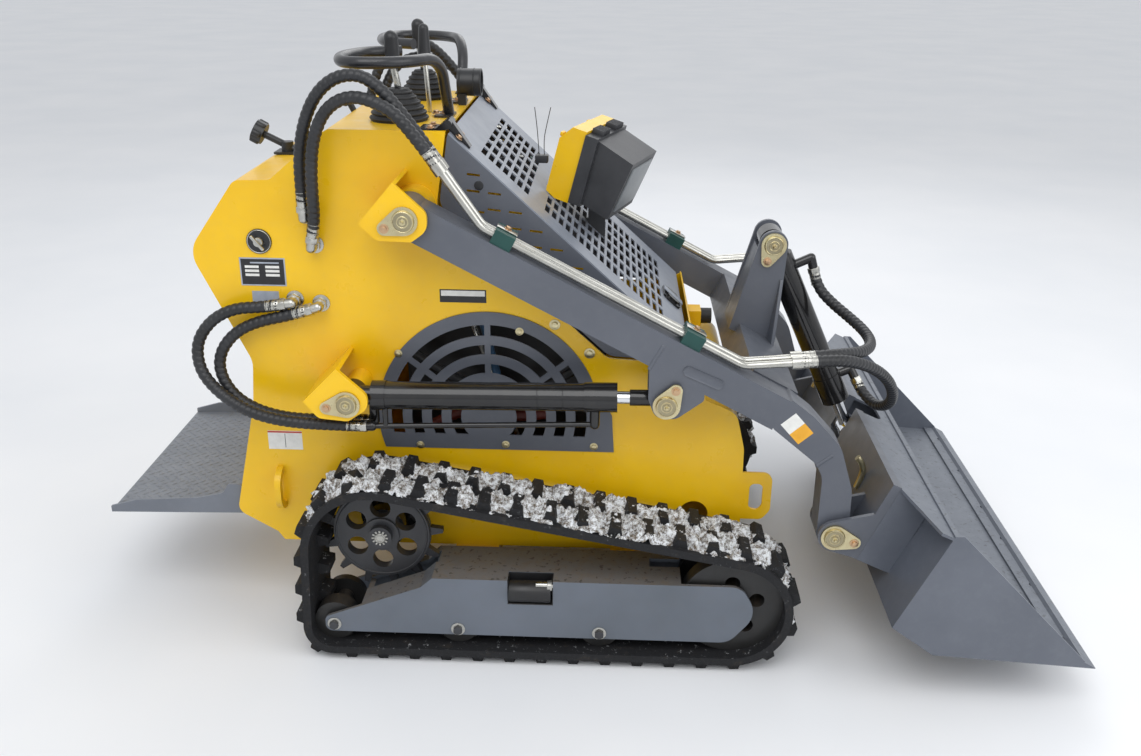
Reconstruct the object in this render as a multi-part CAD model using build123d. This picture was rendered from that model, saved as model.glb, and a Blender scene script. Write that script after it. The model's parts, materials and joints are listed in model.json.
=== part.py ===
from build123d import *
import os
from math import atan2, cos, degrees, hypot, radians, sin, tan

# Stand-on tracked mini loader, millimetres.
# x runs forwards, y to the machine's left and z up from the ground.
# Each half of a pair is modelled on the right (negative y) and mirrored to the left.

# ---- track: one belt round a sprocket, a front idler and a rear roller
track_y = 417.0             # middle of the belt
track_width = 180.0
belt = 18.0                 # thickness of the belt
lug_height = 18.0
lug_pitch = 72.0
lug_foot = 36.0             # length of a lug at the belt
lug_crown = 20.0            # length of a lug at its top
drive_lug_height = 26.0
drive_lug_y = (377.0, 433.0)
drive_lug_foot = 30.0
drive_lug_crown = 18.0
sprocket_at = (-433.0, 268.0)
sprocket_wrap = 139.0       # inner radius of the belt round the sprocket
idler_x = 347.0
idler_wrap = 114.0
rear_x = -532.0
rear_wrap = 47.0
roller_x = (-255.0, 59.0)
roller_radius = 45.7
rim_y = ((356.0, 374.0), (436.0, 474.0))
wheel_gap = 0.3             # between a wheel and the belt
axle_radius = 14.0

# ---- sprocket and its motor
teeth = 13
tooth_tip = 137.0
tooth_root = 110.0
tooth_y = (380.0, 396.0)
disc_radius = 108.0
disc_face = 404.0
disc_hole = 23.0
disc_hole_at = 64.0
disc_holes = 6
hub_radius = 26.0
hub_end = 424.0
motor_radius = 48.0
motor_flange = 66.0

# ---- track frame: two plates joined by a top sheet, and two cross beams
frame_outer = (480.0, 488.0)
frame_inner = (346.0, 354.0)
frame_top = 208.0
frame_sheet = 8.0
notch_x = (-144.0, -44.0)
notch_z = 148.0
notch_depth = 30.0
track_slot_x = (168.0, 236.0)
beam_x = (-230.0, 130.0)
beam_width = 100.0
beam_height = 50.0
beam_wall = 5.0

# ---- hull: two side plates, with folded sheets between them
hull_half = 304.0
side_plate = 6.0
sheet = 4.0
floor_z = 188.0
console_z = 1146.0
nose_x = 376.0
console_front = (-277.0, 1137.0)
hood_front = (254.0, 683.0)

# ---- grille plate on each side
grille_at = (-198.0, 516.0)
grille_radius = 247.0
grille_plate = 4.0
grille_foot = 438.0
grille_slot_foot = 474.0
grille_slots = ((62.0, 84.0), (106.0, 128.0), (150.0, 172.0), (193.0, 218.0))
grille_spokes = (38.0, 90.0, 142.0)
spoke_width = 13.0

# ---- lift arms and their pins
arm_y = (360.0, 430.0)
arm_pin = (-343.0, 994.0)
arm_slope = -27.6
arm_depth = 74.0
arm_pin_radius = 17.5
running_gap = 0.1           # between a pin and its bore
bracket_y = (436.0, 446.0)
boss_radius = 44.0
boss_gap = 2.0
tip_pin = (560.0, 318.0)
tip_radius = 35.0
rod_pin = (188.0, 610.0)
gusset = 10.0

# ---- lift cylinder
barrel_pin = (-481.0, 600.0)
cylinder_y = 395.0
barrel_radius = 30.0
barrel_start = 45.0         # from its pin
barrel_end = 567.0
barrel_wall = 6.0
rod_radius = 14.0
eye_radius = 28.0
eye_half = 24.0
cylinder_pin_radius = 12.5
eye_gap = 1.0

# ---- boom cross member, tower and tilt cylinder
cross_at = (405.0, 606.0)
cross_width = 110.0
cross_depth = 75.0
tower_pin = (440.0, 857.0)
tower_radius = 33.0
tower_y = (50.0, 60.0)
tilt_pin = (671.0, 368.0)
tilt_barrel_radius = 32.5
tilt_barrel_end = 446.0
tilt_rod_radius = 15.0
tilt_eye_radius = 30.0
tilt_eye_half = 30.0
tilt_pin_radius = 15.0
tilt_ports = (  # distance from the tower pin, reach from the axis, way of the fitting
    (82.0, 70.0, (0.3, 0, -1)),
    (385.0, 60.0, (0.45, -0.4, -0.8)),
)

# ---- quick attach plate and bucket, set out from the tip pin
attach_angle = -23.7        # of the plate's normal from the x axis
attach_rear = 51.0
attach_plate = 20.0
attach_half = 450.0
attach_foot = -28.0
attach_top = 164.0
lug_y = (30.0, 44.0)
lug_foot_up = 20.0
ear = 10.0
ear_gap = 5.0
bucket_back = 150.0
bucket_half = 595.0
bucket_wall = 6.0
bucket_heel = (666.0, 189.0)
bucket_sole = (757.0, 125.0)
bucket_tip = (1097.0, 104.0)
bucket_head = (767.0, 408.0)
bucket_lip = (786.0, 408.0)
visor_rear = (690.0, 438.0)
visor_half = 450.0
visor_notch = (54.0, 46.0)    # depth and half width of the room for the tilt cylinder
edge_depth = 60.0
edge_plate = 12.0
edge_hole = 9.0
edge_hole_back = 30.0
edge_holes_y = (82.5, 295.5, 508.5)

# ---- hood and work lamp
hood_head = (-269.0, 1142.0)
hood_foot = (250.0, 672.0)
hood_sheet = 3.0
hood_length = 686.0
latch_back = 38.0            # from the hood's foot to the middle of its latch
hood_gap = 5.0
slot_pitch = 20.2
slot_column = 79.0
slot_size = (60.0, 13.0)
slot_rows = ((82.0, 7), (263.0, 18))    # first row down the slope, number of rows
cheek_slot = (27.0, 5.0)
hinge_at = (-272.0, 1158.0)
hinge_y = (244.0, 300.0)
hinge_pin = 5.0
lamp_at = (-71.0, 1035.0)
lamp_half = 100.0
lamp_near = -78.0           # y of the lamp's near rear edge
lamp_tilt = -15.0
lamp_turn = -18.0

# ---- platform
platform_pin = (-763.0, 271.0)
flange_y = (286.0, 292.0)
deck_rear = (-1097.0, 242.0)
deck_front = -793.0
deck_sheet = 4.0
platform_pin_radius = 8.0

# ---- controls
handle_radius = 12.0
rail_z = 1279.0
joystick_at = (-394.0, 168.0)
boot_height = 66.0

# ---- rubber buffers between the hull and the boom
buffer_at = (300.0, 180.0, 603.0)
buffer_depth = 28.0
buffer_radius = 20.0

# ---- hydraulic lines
tube_radius = 8.0
tube_y = (-380.5, -409.5)
hose_radius = 13.0
tube_collar = 14.0
port_radius = 11.0
barrel_ports = ((-438.0, -380.0, 535.0), (-438.0, -410.0, 535.0))    # x, y, z of the fittings' turns
line_radius = 6.0
clamp_at = (190.0, 628.0)   # along the arm from its pin
seat_gap = 0.3

# The centres of the wheels follow from the belt's wraps, so that the loop lies flat.
ground_line = belt + lug_height
idler_at = (idler_x, idler_wrap + ground_line)
rear_at = (rear_x, rear_wrap + ground_line)
roller_z = ground_line + wheel_gap + roller_radius
arm_way = Vector(cos(radians(arm_slope)), sin(radians(arm_slope)))
arm_up = Vector(-arm_way.Y, arm_way.X)


def slab(sketch, near, far):
    """A sketch drawn in x and z, as thick as from y = near to y = far."""
    low, high = min(near, far), max(near, far)
    return extrude(Plane.XZ.offset(-high) * sketch, high - low, dir=(0, -1, 0))


def right(sketch, inner, outer):
    """A slab on the right side, at the given distances from the middle."""
    return slab(sketch, -outer, -inner)


def across(sketch, half):
    return slab(sketch, -half, half)


def disc(at, radius):
    return Pos(at[0], at[1]) * Circle(radius)


def outline(*rows):
    """A closed outline from rows of x, z and corner radius."""
    points = [row[:2] for row in rows]
    radii = [row[2] for row in rows]
    return make_face(FilletPolyline(*points, radius=radii, close=True))


def polygon(*points):
    return Polygon(*points, align=None)


def hull(*shapes):
    edges = []
    for shape in shapes:
        edges += shape.edges()
    return make_hull(edges)


def box(x, y, z):
    """A box between pairs of limits."""
    centre = Pos((x[0] + x[1]) / 2, (y[0] + y[1]) / 2, (z[0] + z[1]) / 2)
    return centre * Box(x[1] - x[0], y[1] - y[0], z[1] - z[0])


def left_of(part):
    return mirror(part, about=Plane.XZ)


def pair(part):
    return Compound(children=[part, left_of(part)])


def group(*parts):
    return Compound(children=list(parts))


def rod_between(start, end, radius):
    way = Vector(*end) - Vector(*start)
    return extrude(Plane(Vector(*start), z_dir=way) * Circle(radius), way.length)


def pipe(name, points, radius):
    """A round line of straight runs joined by arcs as large as the runs allow."""
    radii = []
    for before, corner, after in zip(points, points[1:], points[2:]):
        into = Vector(*corner) - Vector(*before)
        out = Vector(*after) - Vector(*corner)
        turn = radians(into.get_angle(out))
        radii.append(0.45 * min(into.length, out.length) / tan(turn / 2))
    path = FilletPolyline(*points, radius=radii)
    print(name, "length", round(path.length), "radii", [round(r) for r in radii])
    return sweep(Plane(path @ 0, z_dir=path % 0) * Circle(radius), path=path)


# ---------------------------------------------------------------- undercarriage

def belt_loop(offset):
    """The belt's outline, moved outwards from its inner face."""
    return hull(
        disc(sprocket_at, sprocket_wrap + offset),
        disc(idler_at, idler_wrap + offset),
        disc(rear_at, rear_wrap + offset),
    )


belt_middle = belt_loop(belt / 2).wire()
lug_count = round(belt_middle.length / lug_pitch)
belt_centre = belt_loop(0).center()


def lug_place(turn):
    """The place on the belt's middle line, with local y pointing out of the loop."""
    point = belt_middle.position_at(turn % 1)
    along = belt_middle.tangent_at(turn % 1)
    out = Vector(along.Y, -along.X)
    if out.dot(point - belt_centre) < 0:
        out = out * -1
    return Pos(point.X, point.Y) * Rot(0, 0, degrees(atan2(out.Y, out.X)) - 90)


def lug_shape(foot, crown, low, high):
    return polygon((-foot / 2, low), (foot / 2, low), (crown / 2, high), (-crown / 2, high))


def track():
    body = right(belt_loop(belt) - belt_loop(0), track_y - track_width / 2, track_y + track_width / 2)
    root = belt / 2 - 3
    tread = lug_shape(lug_foot, lug_crown, root, belt / 2 + lug_height)
    drive = lug_shape(drive_lug_foot, drive_lug_crown, -root, -belt / 2 - drive_lug_height)
    rows = (  # shape, inner y, outer y, phase in pitches
        (tread, track_y - 78, track_y - 8, 0.0),
        (tread, track_y + 8, track_y + 78, 0.5),
        (drive, drive_lug_y[0], drive_lug_y[1], 0.25),
    )
    lugs = []
    for shape, inner, outer, phase in rows:
        for i in range(lug_count):
            lugs.append(right(lug_place((i + phase) / lug_count) * shape, inner, outer))
    return body + lugs


def tooth_start():
    """The angle of a gap between drive lugs, seen from the sprocket's centre."""
    nearest = None
    for i in range(lug_count):
        point = belt_middle.position_at((i + 0.75) / lug_count % 1)
        dx, dz = point.X - sprocket_at[0], point.Y - sprocket_at[1]
        angle = degrees(atan2(dz, dx))
        if abs(hypot(dx, dz) - sprocket_wrap - belt / 2) < 1:
            if nearest is None or abs(angle - 130) < abs(nearest - 130):
                nearest = angle
    return nearest


def sprocket():
    tooth = polygon((tooth_root - 5, -11), (tooth_tip, -5), (tooth_tip, 5), (tooth_root - 5, 11))
    ring = Circle(tooth_root)
    for i in range(teeth):
        ring += Rot(0, 0, tooth_start() + i * 360 / teeth) * tooth
    holes = PolarLocations(disc_hole_at, disc_holes, start_angle=30) * Circle(disc_hole)
    place = Pos(*sprocket_at)
    wheel = right(place * (ring - holes), *tooth_y)
    wheel += right(place * (Circle(disc_radius) - holes), tooth_y[1], disc_face)
    wheel += right(disc(sprocket_at, hub_radius + 14), disc_face, disc_face + 5)
    wheel += right(disc(sprocket_at, hub_radius), disc_face, hub_end)
    return wheel


def drive_motor():
    body = right(disc(sprocket_at, motor_flange), hull_half, hull_half + 10)
    return body + right(disc(sprocket_at, motor_radius), hull_half, tooth_y[0])


def wheel(at, radius, core):
    """Two rims on a core that clears the drive lugs, with its axle between the frame plates."""
    part = right(disc(at, core), rim_y[0][0], rim_y[1][1])
    for inner, outer in rim_y:
        part += right(disc(at, radius), inner, outer)
    return part + right(disc(at, axle_radius), frame_inner[1], frame_outer[0])


def idler():
    part = wheel(idler_at, idler_wrap - wheel_gap, idler_wrap - drive_lug_height - 5)
    holes = Pos(*idler_at) * (Sketch() + PolarLocations(58, 5, start_angle=18) * Circle(17))
    return part - right(holes, rim_y[0][0], rim_y[1][1])


def rollers():
    parts = [wheel(rear_at, rear_wrap - wheel_gap, 19)]
    for x in roller_x:
        parts.append(wheel((x, roller_z), roller_radius, 19))
    return parts


def track_frame():
    front = idler_x + 58
    plate = outline(
        (rear_x - 20, 65, 16), (rear_x - 20, 101, 14), (-336, 184, 30), (-310, frame_top, 20),
        (front - 40, frame_top, 40), (front, 140, 55), (front - 60, 65, 45),
    )
    left, right_end = notch_x
    notch = polygon((left, notch_z), (right_end, notch_z), (right_end, frame_top), (left, frame_top))
    low = frame_top - frame_sheet
    top = polygon(
        (235, frame_top), (-310, frame_top), (-336, 184), (-470, 132.5), (-468, 124.5), (-333, 176),
        (-306, low), (235, low),
    )
    frame = right(plate, *frame_outer) + right(plate, *frame_inner)
    frame += right(top, frame_inner[0], frame_outer[1])
    frame -= right(disc(sprocket_at, tooth_tip + 5), drive_lug_y[0] - 7, drive_lug_y[1] - 15)
    frame -= right(disc(rear_at, rear_wrap + 5), frame_inner[1], frame_outer[0])
    pocket = offset(notch, 6, kind=Kind.INTERSECTION) - Pos(0, 2 * notch_depth) * notch
    frame += right(pocket, frame_outer[0] - notch_depth - 6, frame_outer[0])
    frame -= right(notch, frame_outer[0] - notch_depth, frame_outer[1])
    frame -= box(track_slot_x, (-412, -378), (low - 1, frame_top + 1))
    return frame & box((rear_x - 20, front), (-frame_outer[1], 0), (0, frame_top))


def cross_beams():
    beams = []
    for x in beam_x:
        section = Rectangle(beam_width, beam_height) - Rectangle(
            beam_width - 2 * beam_wall, beam_height - 2 * beam_wall
        )
        beams.append(across(Pos(x, floor_z - beam_height / 2) * section, frame_inner[0]))
    return group(*beams)


# ------------------------------------------------------------------------- hull

tank_rear = ((-646, 1040, 15), (-722, 1038, 25), (-833, 884, 60), (-719, 636, 60))
front_fold = ((nose_x, 274, 0), (nose_x - 3, 453, 60), (352, 538, 40), (282, 568, 0))


def side_sketch():
    face = outline(
        (console_front[0] + 3, console_z, 6), (-519, console_z, 20), *tank_rear,
        (-728, 534, 60), (-760, 393, 80), (-790, 262, 26), (-700, 209, 15), (-686, floor_z, 0),
        (nose_x, floor_z, 0), *front_fold, (*hood_front, 0),
        (236, 672, 0), (129, 658, 30), (63, 662, 30), (-299, 991, 20), (*console_front, 0),
    )
    root = nose_x - 20
    tow = outline((root, 276, 0), (424, 276, 20), (442, 300, 20), (442, 394, 22), (root, 394, 0))
    tow -= outline((392, 304, 10), (414, 300, 10), (422, 312, 10), (422, 366, 12), (392, 366, 12))
    opening = Pos(*grille_at) * Circle(grille_slots[-1][1] + 4)
    opening -= Pos(grille_at[0], grille_slot_foot - 300 - 4) * Rectangle(600, 600)
    return face + tow - opening - disc((268, 285), 33)


def hull_side():
    plate = right(side_sketch(), hull_half - side_plate, hull_half)
    pin = disc(platform_pin, platform_pin_radius)
    return plate + right(pin, flange_y[0] - 6, hull_half - side_plate)


def folded_sheet():
    """The skin between the side plates, before it is parted into panels."""
    face = outline(
        (console_front[0], console_z, 0), (-519, console_z, 20), *tank_rear,
        (-700, 450, 0), (-700, 209, 15), (-686, floor_z, 0),
        (nose_x, floor_z, 0), *front_fold, (*hood_front, 0),
    )
    half = hull_half - side_plate
    return across(face, half) - across(offset(face, -sheet, kind=Kind.INTERSECTION), half)


def hull_panels():
    skin = folded_sheet()
    wide = (-hull_half, hull_half)
    split_x = -700.0
    console = skin & box((split_x, console_front[0]), wide, (1030, console_z + 5))
    rear = skin & box((-900, split_x), wide, (460, 1100))
    rear += skin & box((-900, -640), wide, (floor_z - 5, 460))
    belly = skin & box((-640, nose_x + 10), wide, (floor_z - 5, floor_z + 90))
    belly += skin & box((250, nose_x + 10), wide, (floor_z + 90, hood_front[1] + 5))
    return console, rear, belly


def grille():
    face = Pos(*grille_at) * Circle(grille_radius)
    face += polygon((-421, 486), (-398, grille_foot), (82, grille_foot), (76, 526), (37, 600), (-198, 600))
    face -= Pos(grille_at[0], grille_foot - 300) * Rectangle(700, 600)
    rings = Sketch()
    for inner, outer in grille_slots:
        rings += Circle(outer) - Circle(inner)
    for angle in grille_spokes:
        rings -= Rot(0, 0, angle) * Pos(150, 0) * Rectangle(300, spoke_width)
    rings = Pos(*grille_at) * rings
    rings -= Pos(grille_at[0], grille_slot_foot - 300) * Rectangle(700, 600)
    return right(face - rings, hull_half, hull_half + grille_plate)


def engine_block():
    return box((-400, 60), (-170, 170), (floor_z + sheet, 690))


def arm_bracket():
    low, high = arm_y[0] - boss_gap, bracket_y[0]
    plate = outline(
        (-433, 986, 0), (-362, 1069, 10), (-297, 1010, 25), (-297, 975, 30),
        (-329, 951, 12), (-399, 953, 25),
    )
    part = right(plate, *bracket_y)
    part += right(disc(arm_pin, boss_radius), hull_half, low)
    part += right(disc(arm_pin, arm_pin_radius), low, high)
    part += right(disc(arm_pin, 30), arm_y[1] + 1, high)
    spine = polygon((-433, 986), (-362, 1069), (-356, 1064), (-427, 981))
    return part + right(spine, hull_half, bracket_y[1])


def cylinder_bracket():
    eye_outer = cylinder_y + eye_half
    plate = outline(
        (-573, 603, 0), (-499, 678, 8), (-437, 620, 25), (-437, 590, 25),
        (-480, 560, 20), (-543, 566, 20),
    )
    part = right(plate, *bracket_y)
    part += right(disc(barrel_pin, 26), hull_half, cylinder_y - eye_half - eye_gap)
    part += right(disc(barrel_pin, cylinder_pin_radius), cylinder_y - eye_half - eye_gap, bracket_y[0])
    part += right(disc(barrel_pin, 22), eye_outer + eye_gap, bracket_y[0])
    spine = polygon((-573, 603), (-499, 678), (-493, 672), (-567, 597))
    return part + right(spine, hull_half, bracket_y[1])


def tie_ring():
    loop = SlotOverall(104, 84, rotation=90) - SlotOverall(72, 52, rotation=90)
    ring = extrude(Plane.YZ * Pos(-hull_half, 329) * loop, 14)
    ring = Pos(-686, 0, 0) * ring
    return ring & box((-700, -600), (-hull_half - 60, -hull_half), (200, 400))


# ------------------------------------------------------------------ boom

def rod_at(origin, end, distance):
    """The point at a distance along the line from origin to end."""
    length = hypot(end[0] - origin[0], end[1] - origin[1])
    return (
        origin[0] + (end[0] - origin[0]) * distance / length,
        origin[1] + (end[1] - origin[1]) * distance / length,
    )


def arm_point(along, above):
    """A point in x and z, measured along the arm's middle line from its pin."""
    point = Vector(*arm_pin) + arm_way * along + arm_up * above
    return (point.X, point.Y)


def arm():
    half = arm_depth / 2
    beam = polygon(arm_point(0, half), arm_point(870, half), arm_point(870, -half), arm_point(0, -half))
    knee = outline(
        (449, 626, 0), (498, 588, 60), (560, 520, 70), (592, 420, 90), (594, 340, 0),
        (526, 322, 0), (526, 452, 50), (509, 482, 40), (415, 559, 0), (395, 600, 0),
    )
    face = beam + knee + hull(disc(tip_pin, tip_radius)) + disc(arm_pin, 40)
    part = right(face, *arm_y)
    for at in (arm_pin, tip_pin):
        part -= right(disc(at, arm_pin_radius + running_gap), arm_y[0], arm_y[1])
    ears = outline(
        (266, 650, 0), (266, 620, 12), (210, 577, 28), (166, 577, 28), (150, 620, 12), (150, 708, 0),
    )
    part += right(ears, arm_y[1] - gusset, arm_y[1])
    part += right(disc(rod_pin, 22), arm_y[1] - 1, arm_y[1] + 6)
    return part + right(ears, arm_y[0], arm_y[0] + gusset)


def cross_member():
    return across(Pos(*cross_at) * Rot(0, 0, arm_slope) * Rectangle(cross_width, cross_depth), arm_y[0])


def tower():
    plate = hull(disc(tower_pin, tower_radius), polygon((349, 652), (457, 604), (461, 635)))
    web = polygon((349, 652), (357, 650), (414, 840), (407, 843))
    part = right(plate, *tower_y) + left_of(right(plate, *tower_y))
    part += across(web, tower_y[0])
    for inner in (-tower_y[0], tilt_eye_half + eye_gap):
        part += slab(disc(tower_pin, 24), inner, inner + tower_y[0] - tilt_eye_half - eye_gap)
    part += across(disc(tower_pin, tilt_pin_radius), tower_y[1])
    return part - cross_member()


def barrel(pin, far_pin, y, radius, length, eye, eye_half, pin_radius, rod):
    """A cylinder barrel on its own eye, bored for the piston and open at its gland."""
    def at(distance):
        x, z = rod_at(pin, far_pin, distance)
        return (x, y, z)

    start, floor, gland = barrel_start, barrel_start + 15, length - 40
    body = rod_between(at(start), at(length), radius)
    body += rod_between(at(length - 70), at(length), radius + 2)
    body += rod_between(at(start), at(start + 30), radius + 2)
    body += rod_between(at(0), at(start + 1), eye_half - 3)
    body += slab(disc(pin, eye), y - eye_half, y + eye_half)
    body -= slab(disc(pin, pin_radius + running_gap), y - eye_half - 1, y + eye_half + 1)
    body -= rod_between(at(floor), at(gland), radius - barrel_wall)
    return body - rod_between(at(gland - 1), at(length + 1), rod + running_gap)


def piston_rod(pin, far_pin, y, radius, rod, piston, eye, eye_half):
    """A rod from its piston to the solid eye that carries its own pin."""
    def at(distance):
        x, z = rod_at(pin, far_pin, distance)
        return (x, y, z)

    length = hypot(far_pin[0] - pin[0], far_pin[1] - pin[1])
    part = rod_between(at(piston), at(length - eye / 2), rod)
    part += rod_between(at(piston), at(piston + 25), radius - barrel_wall - running_gap)
    return part + slab(disc(far_pin, eye), y - eye_half, y + eye_half)


def lift_barrel():
    part = barrel(
        barrel_pin, rod_pin, -cylinder_y, barrel_radius, barrel_end,
        eye_radius, eye_half, cylinder_pin_radius, rod_radius,
    )
    for port in barrel_ports:
        part += rod_between(port, (port[0] - 24, *port[1:]), port_radius)
        part += Pos(*port) * Sphere(port_radius)
    inner, outer = barrel_ports
    front = (39, -cylinder_y, 545)
    part += rod_between(inner, (*inner[:2], 580), port_radius)
    part += rod_between(outer, front, line_radius)
    part += Pos(*front) * Sphere(port_radius)
    part += rod_between(front, (*front[:2], 580), port_radius)
    return part + rod_between((-408, outer[1], outer[2]), (-408, outer[1], 584), line_radius)


def lift_rod():
    return piston_rod(
        barrel_pin, rod_pin, -cylinder_y, barrel_radius, rod_radius, 110, eye_radius - 2, eye_half
    )


def tilt_barrel():
    part = barrel(
        tower_pin, tilt_pin, 0, tilt_barrel_radius, tilt_barrel_end,
        tilt_eye_radius, tilt_eye_half, tilt_pin_radius, tilt_rod_radius,
    )
    for row in tilt_ports:
        base, corner, end = tilt_port(*row)
        part += rod_between(base, corner, port_radius)
        part += Pos(corner) * Sphere(port_radius)
        part += rod_between(corner, end, port_radius)
    return part


def tilt_rod():
    return piston_rod(
        tower_pin, tilt_pin, 0, tilt_barrel_radius, tilt_rod_radius, 200, tilt_eye_radius - 2, lug_y[0] - 2
    )


# ------------------------------------------------------- quick attach and bucket

attach = Pos(*tip_pin) * Rot(0, 0, attach_angle)


def attach_box(normal, up):
    """A rectangle between limits along the plate's normal and up its face."""
    low, high = min(normal), max(normal)
    centre = Pos((low + high) / 2, (up[0] + up[1]) / 2)
    return attach * centre * Rectangle(high - low, up[1] - up[0])


def quick_attach():
    front = attach_rear + attach_plate
    plate = across(attach_box((attach_rear, front), (attach_foot, attach_top)), attach_half)
    window = attach_box((attach_rear - 1, front + 1), (lug_foot_up, attach_top + 1))
    part = plate - across(window, lug_y[1])
    lug = attach_box((attach_rear, 100), (lug_foot_up - 5, 70)) + disc(tilt_pin, 28)
    part += right(lug, *lug_y) + left_of(right(lug, *lug_y))
    ear_face = hull(disc(tip_pin, tip_radius), attach_box((attach_rear, attach_rear + 8), (attach_foot, 84)))
    pin_inner, pin_outer = arm_y[0] - ear_gap - ear, arm_y[1] + 2 * ear_gap + ear
    ears = right(ear_face, pin_inner, pin_inner + ear) + right(ear_face, pin_outer - ear, pin_outer)
    ears += right(disc(tip_pin, arm_pin_radius), pin_inner, pin_outer)
    return part + ears + left_of(ears)


def floor_point(back, up):
    """A point measured back from the cutting edge's tip and up from the bucket's sole."""
    way = (Vector(*bucket_tip) - Vector(*bucket_sole)).normalized()
    point = Vector(*bucket_tip) - way * back + Vector(-way.Y, way.X) * up
    return (point.X, point.Y)


def cutting_edge():
    section = polygon(
        floor_point(0, 0), floor_point(0, 1.5), floor_point(24, edge_plate),
        floor_point(edge_depth, edge_plate), floor_point(edge_depth, 0),
    )
    edge = across(section, bucket_half)
    for y in edge_holes_y:
        for side in (-1, 1):
            edge -= edge_bolt_hole(side * y)
    return edge


def edge_bolt_hole(y):
    low, high = floor_point(edge_hole_back, -5), floor_point(edge_hole_back, edge_plate + 5)
    return rod_between((low[0], y, low[1]), (high[0], y, high[1]), edge_hole)


def bucket():
    rim = floor_point(25, 15)
    side = polygon(bucket_heel, bucket_sole, floor_point(38, 0), rim, bucket_lip, bucket_head)
    inner = offset(side, -bucket_wall, kind=Kind.INTERSECTION)
    mouth = (Vector(*rim) - Vector(*bucket_lip)).normalized()
    out = Pos(-mouth.Y * 60, mouth.X * 60)
    cavity = hull(inner, out * inner)
    part = across(side, bucket_half) - across(cavity, bucket_half - bucket_wall)
    visor_top = attach_top - 2
    visor = attach_box((attach_rear + attach_plate + seat_gap, 165), (visor_top - bucket_wall, visor_top))
    plan_low = attach_rear + attach_plate
    part += across(visor, bucket_half) & visor_plan(plan_low)
    low, high = attach_rear + attach_plate + seat_gap, bucket_back + 1
    sill = attach_box((low, high), (attach_foot, attach_foot + bucket_wall))
    part += right(sill, lug_y[1] + 26, attach_half) + left_of(right(sill, lug_y[1] + 26, attach_half))
    web = attach_box((low, high), (attach_foot, visor_top - 2))
    for y in (lug_y[1] + 26, 250, attach_half - 10):
        rib = right(web, y, y + 10)
        part += rib + left_of(rib)
    return part - across(edge_room(), bucket_half + 1)


def visor_plan(rear):
    """The visor's plan: full width at the bucket, tapering to the quick attach plate."""
    plane = Plane(
        origin=(tip_pin[0], 0, tip_pin[1]),
        x_dir=(cos(radians(attach_angle)), 0, sin(radians(attach_angle))),
        z_dir=(-sin(radians(attach_angle)), 0, cos(radians(attach_angle))),
    )
    half = polygon(
        (rear, -visor_half), (rear + 55, -bucket_half), (200, -bucket_half),
        (200, bucket_half), (rear + 55, bucket_half), (rear, visor_half),
    )
    half -= Pos(rear, 0) * RectangleRounded(2 * visor_notch[0], 2 * visor_notch[1], 20)
    return extrude(plane * half, 400, dir=plane.z_dir)


def edge_room():
    """The space that the cutting edge takes out of the bucket's floor."""
    return polygon(
        floor_point(-5, -5), floor_point(-5, edge_plate), floor_point(edge_depth, edge_plate),
        floor_point(edge_depth, -5),
    )


# -------------------------------------------------------------------------- hood

hood_angle = degrees(atan2(hood_foot[1] - hood_head[1], hood_foot[0] - hood_head[0]))
hood_frame = Pos(*hood_head) * Rot(0, 0, hood_angle)
hood_plane = Plane(
    origin=(hood_head[0], 0, hood_head[1]),
    x_dir=(cos(radians(hood_angle)), 0, sin(radians(hood_angle))),
    z_dir=(-sin(radians(hood_angle)), 0, cos(radians(hood_angle))),
)


def hood_point(down, above=0.0):
    x_way, z_way = cos(radians(hood_angle)), sin(radians(hood_angle))
    return (hood_head[0] + x_way * down - z_way * above, hood_head[1] + z_way * down + x_way * above)


def hood_top():
    face = Pos(hood_length / 2, 0) * Rectangle(hood_length, 2 * hull_half)
    slots = Sketch()
    for first, count in slot_rows:
        for row in range(count):
            for column in range(6):
                at = Pos(first + row * slot_pitch, (column - 2.5) * slot_column)
                slots += at * Rectangle(slot_size[1], slot_size[0])
    return extrude(hood_plane * (face - slots), hood_sheet, dir=-hood_plane.z_dir)


def hood_cheeks():
    edge = outline(
        (*hood_point(0.5, -hood_sheet), 0), (*hood_point(hood_length - 12, -hood_sheet), 0),
        (222, 682, 0), (131, 664, 0), (66, 668, 40), (-293, 994, 30), (-273, 1134, 0),
    )
    for row in range(4):
        for column in range(8):
            down = 92 + column * 58 + (row % 2) * 22
            depth = 30 + row * 26
            if depth < 118 - down * 0.17:
                slot = Pos(*hood_point(down, -depth)) * Rot(0, 0, -6) * Rectangle(*cheek_slot)
                edge -= slot
    return pair(right(edge, hull_half - hood_sheet, hull_half))


def hood_latch():
    at = Pos(hood_length - latch_back, 0)
    base = extrude(hood_plane.offset(seat_gap) * (at * RectangleRounded(52, 92, 14)), 5)
    lift = extrude(hood_plane.offset(seat_gap + 5) * (at * RectangleRounded(34, 66, 10)), 4)
    return base + lift


def hinge_leaves():
    knuckle = disc(hinge_at, 9)
    leaf = hull(knuckle, hood_frame * (Pos(35, 2) * Rectangle(34, 4)))
    leaf -= disc(hinge_at, hinge_pin + running_gap)
    return pair(right(leaf, hinge_y[0] + 14.5, hinge_y[1] - 14.5))


def hood_hinges():
    part = right(disc(hinge_at, hinge_pin), *hinge_y)
    plate = polygon((-330, console_z), (-286, console_z), (-286, console_z + 4), (-330, console_z + 4))
    part += right(plate, *hinge_y)
    ear_face = hull(disc(hinge_at, 9), polygon((-300, console_z), (-286, console_z), (-286, console_z + 4)))
    for inner in (hinge_y[0], hinge_y[1] - 14):
        part += right(ear_face, inner, inner + 14)
    return pair(part)


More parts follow.
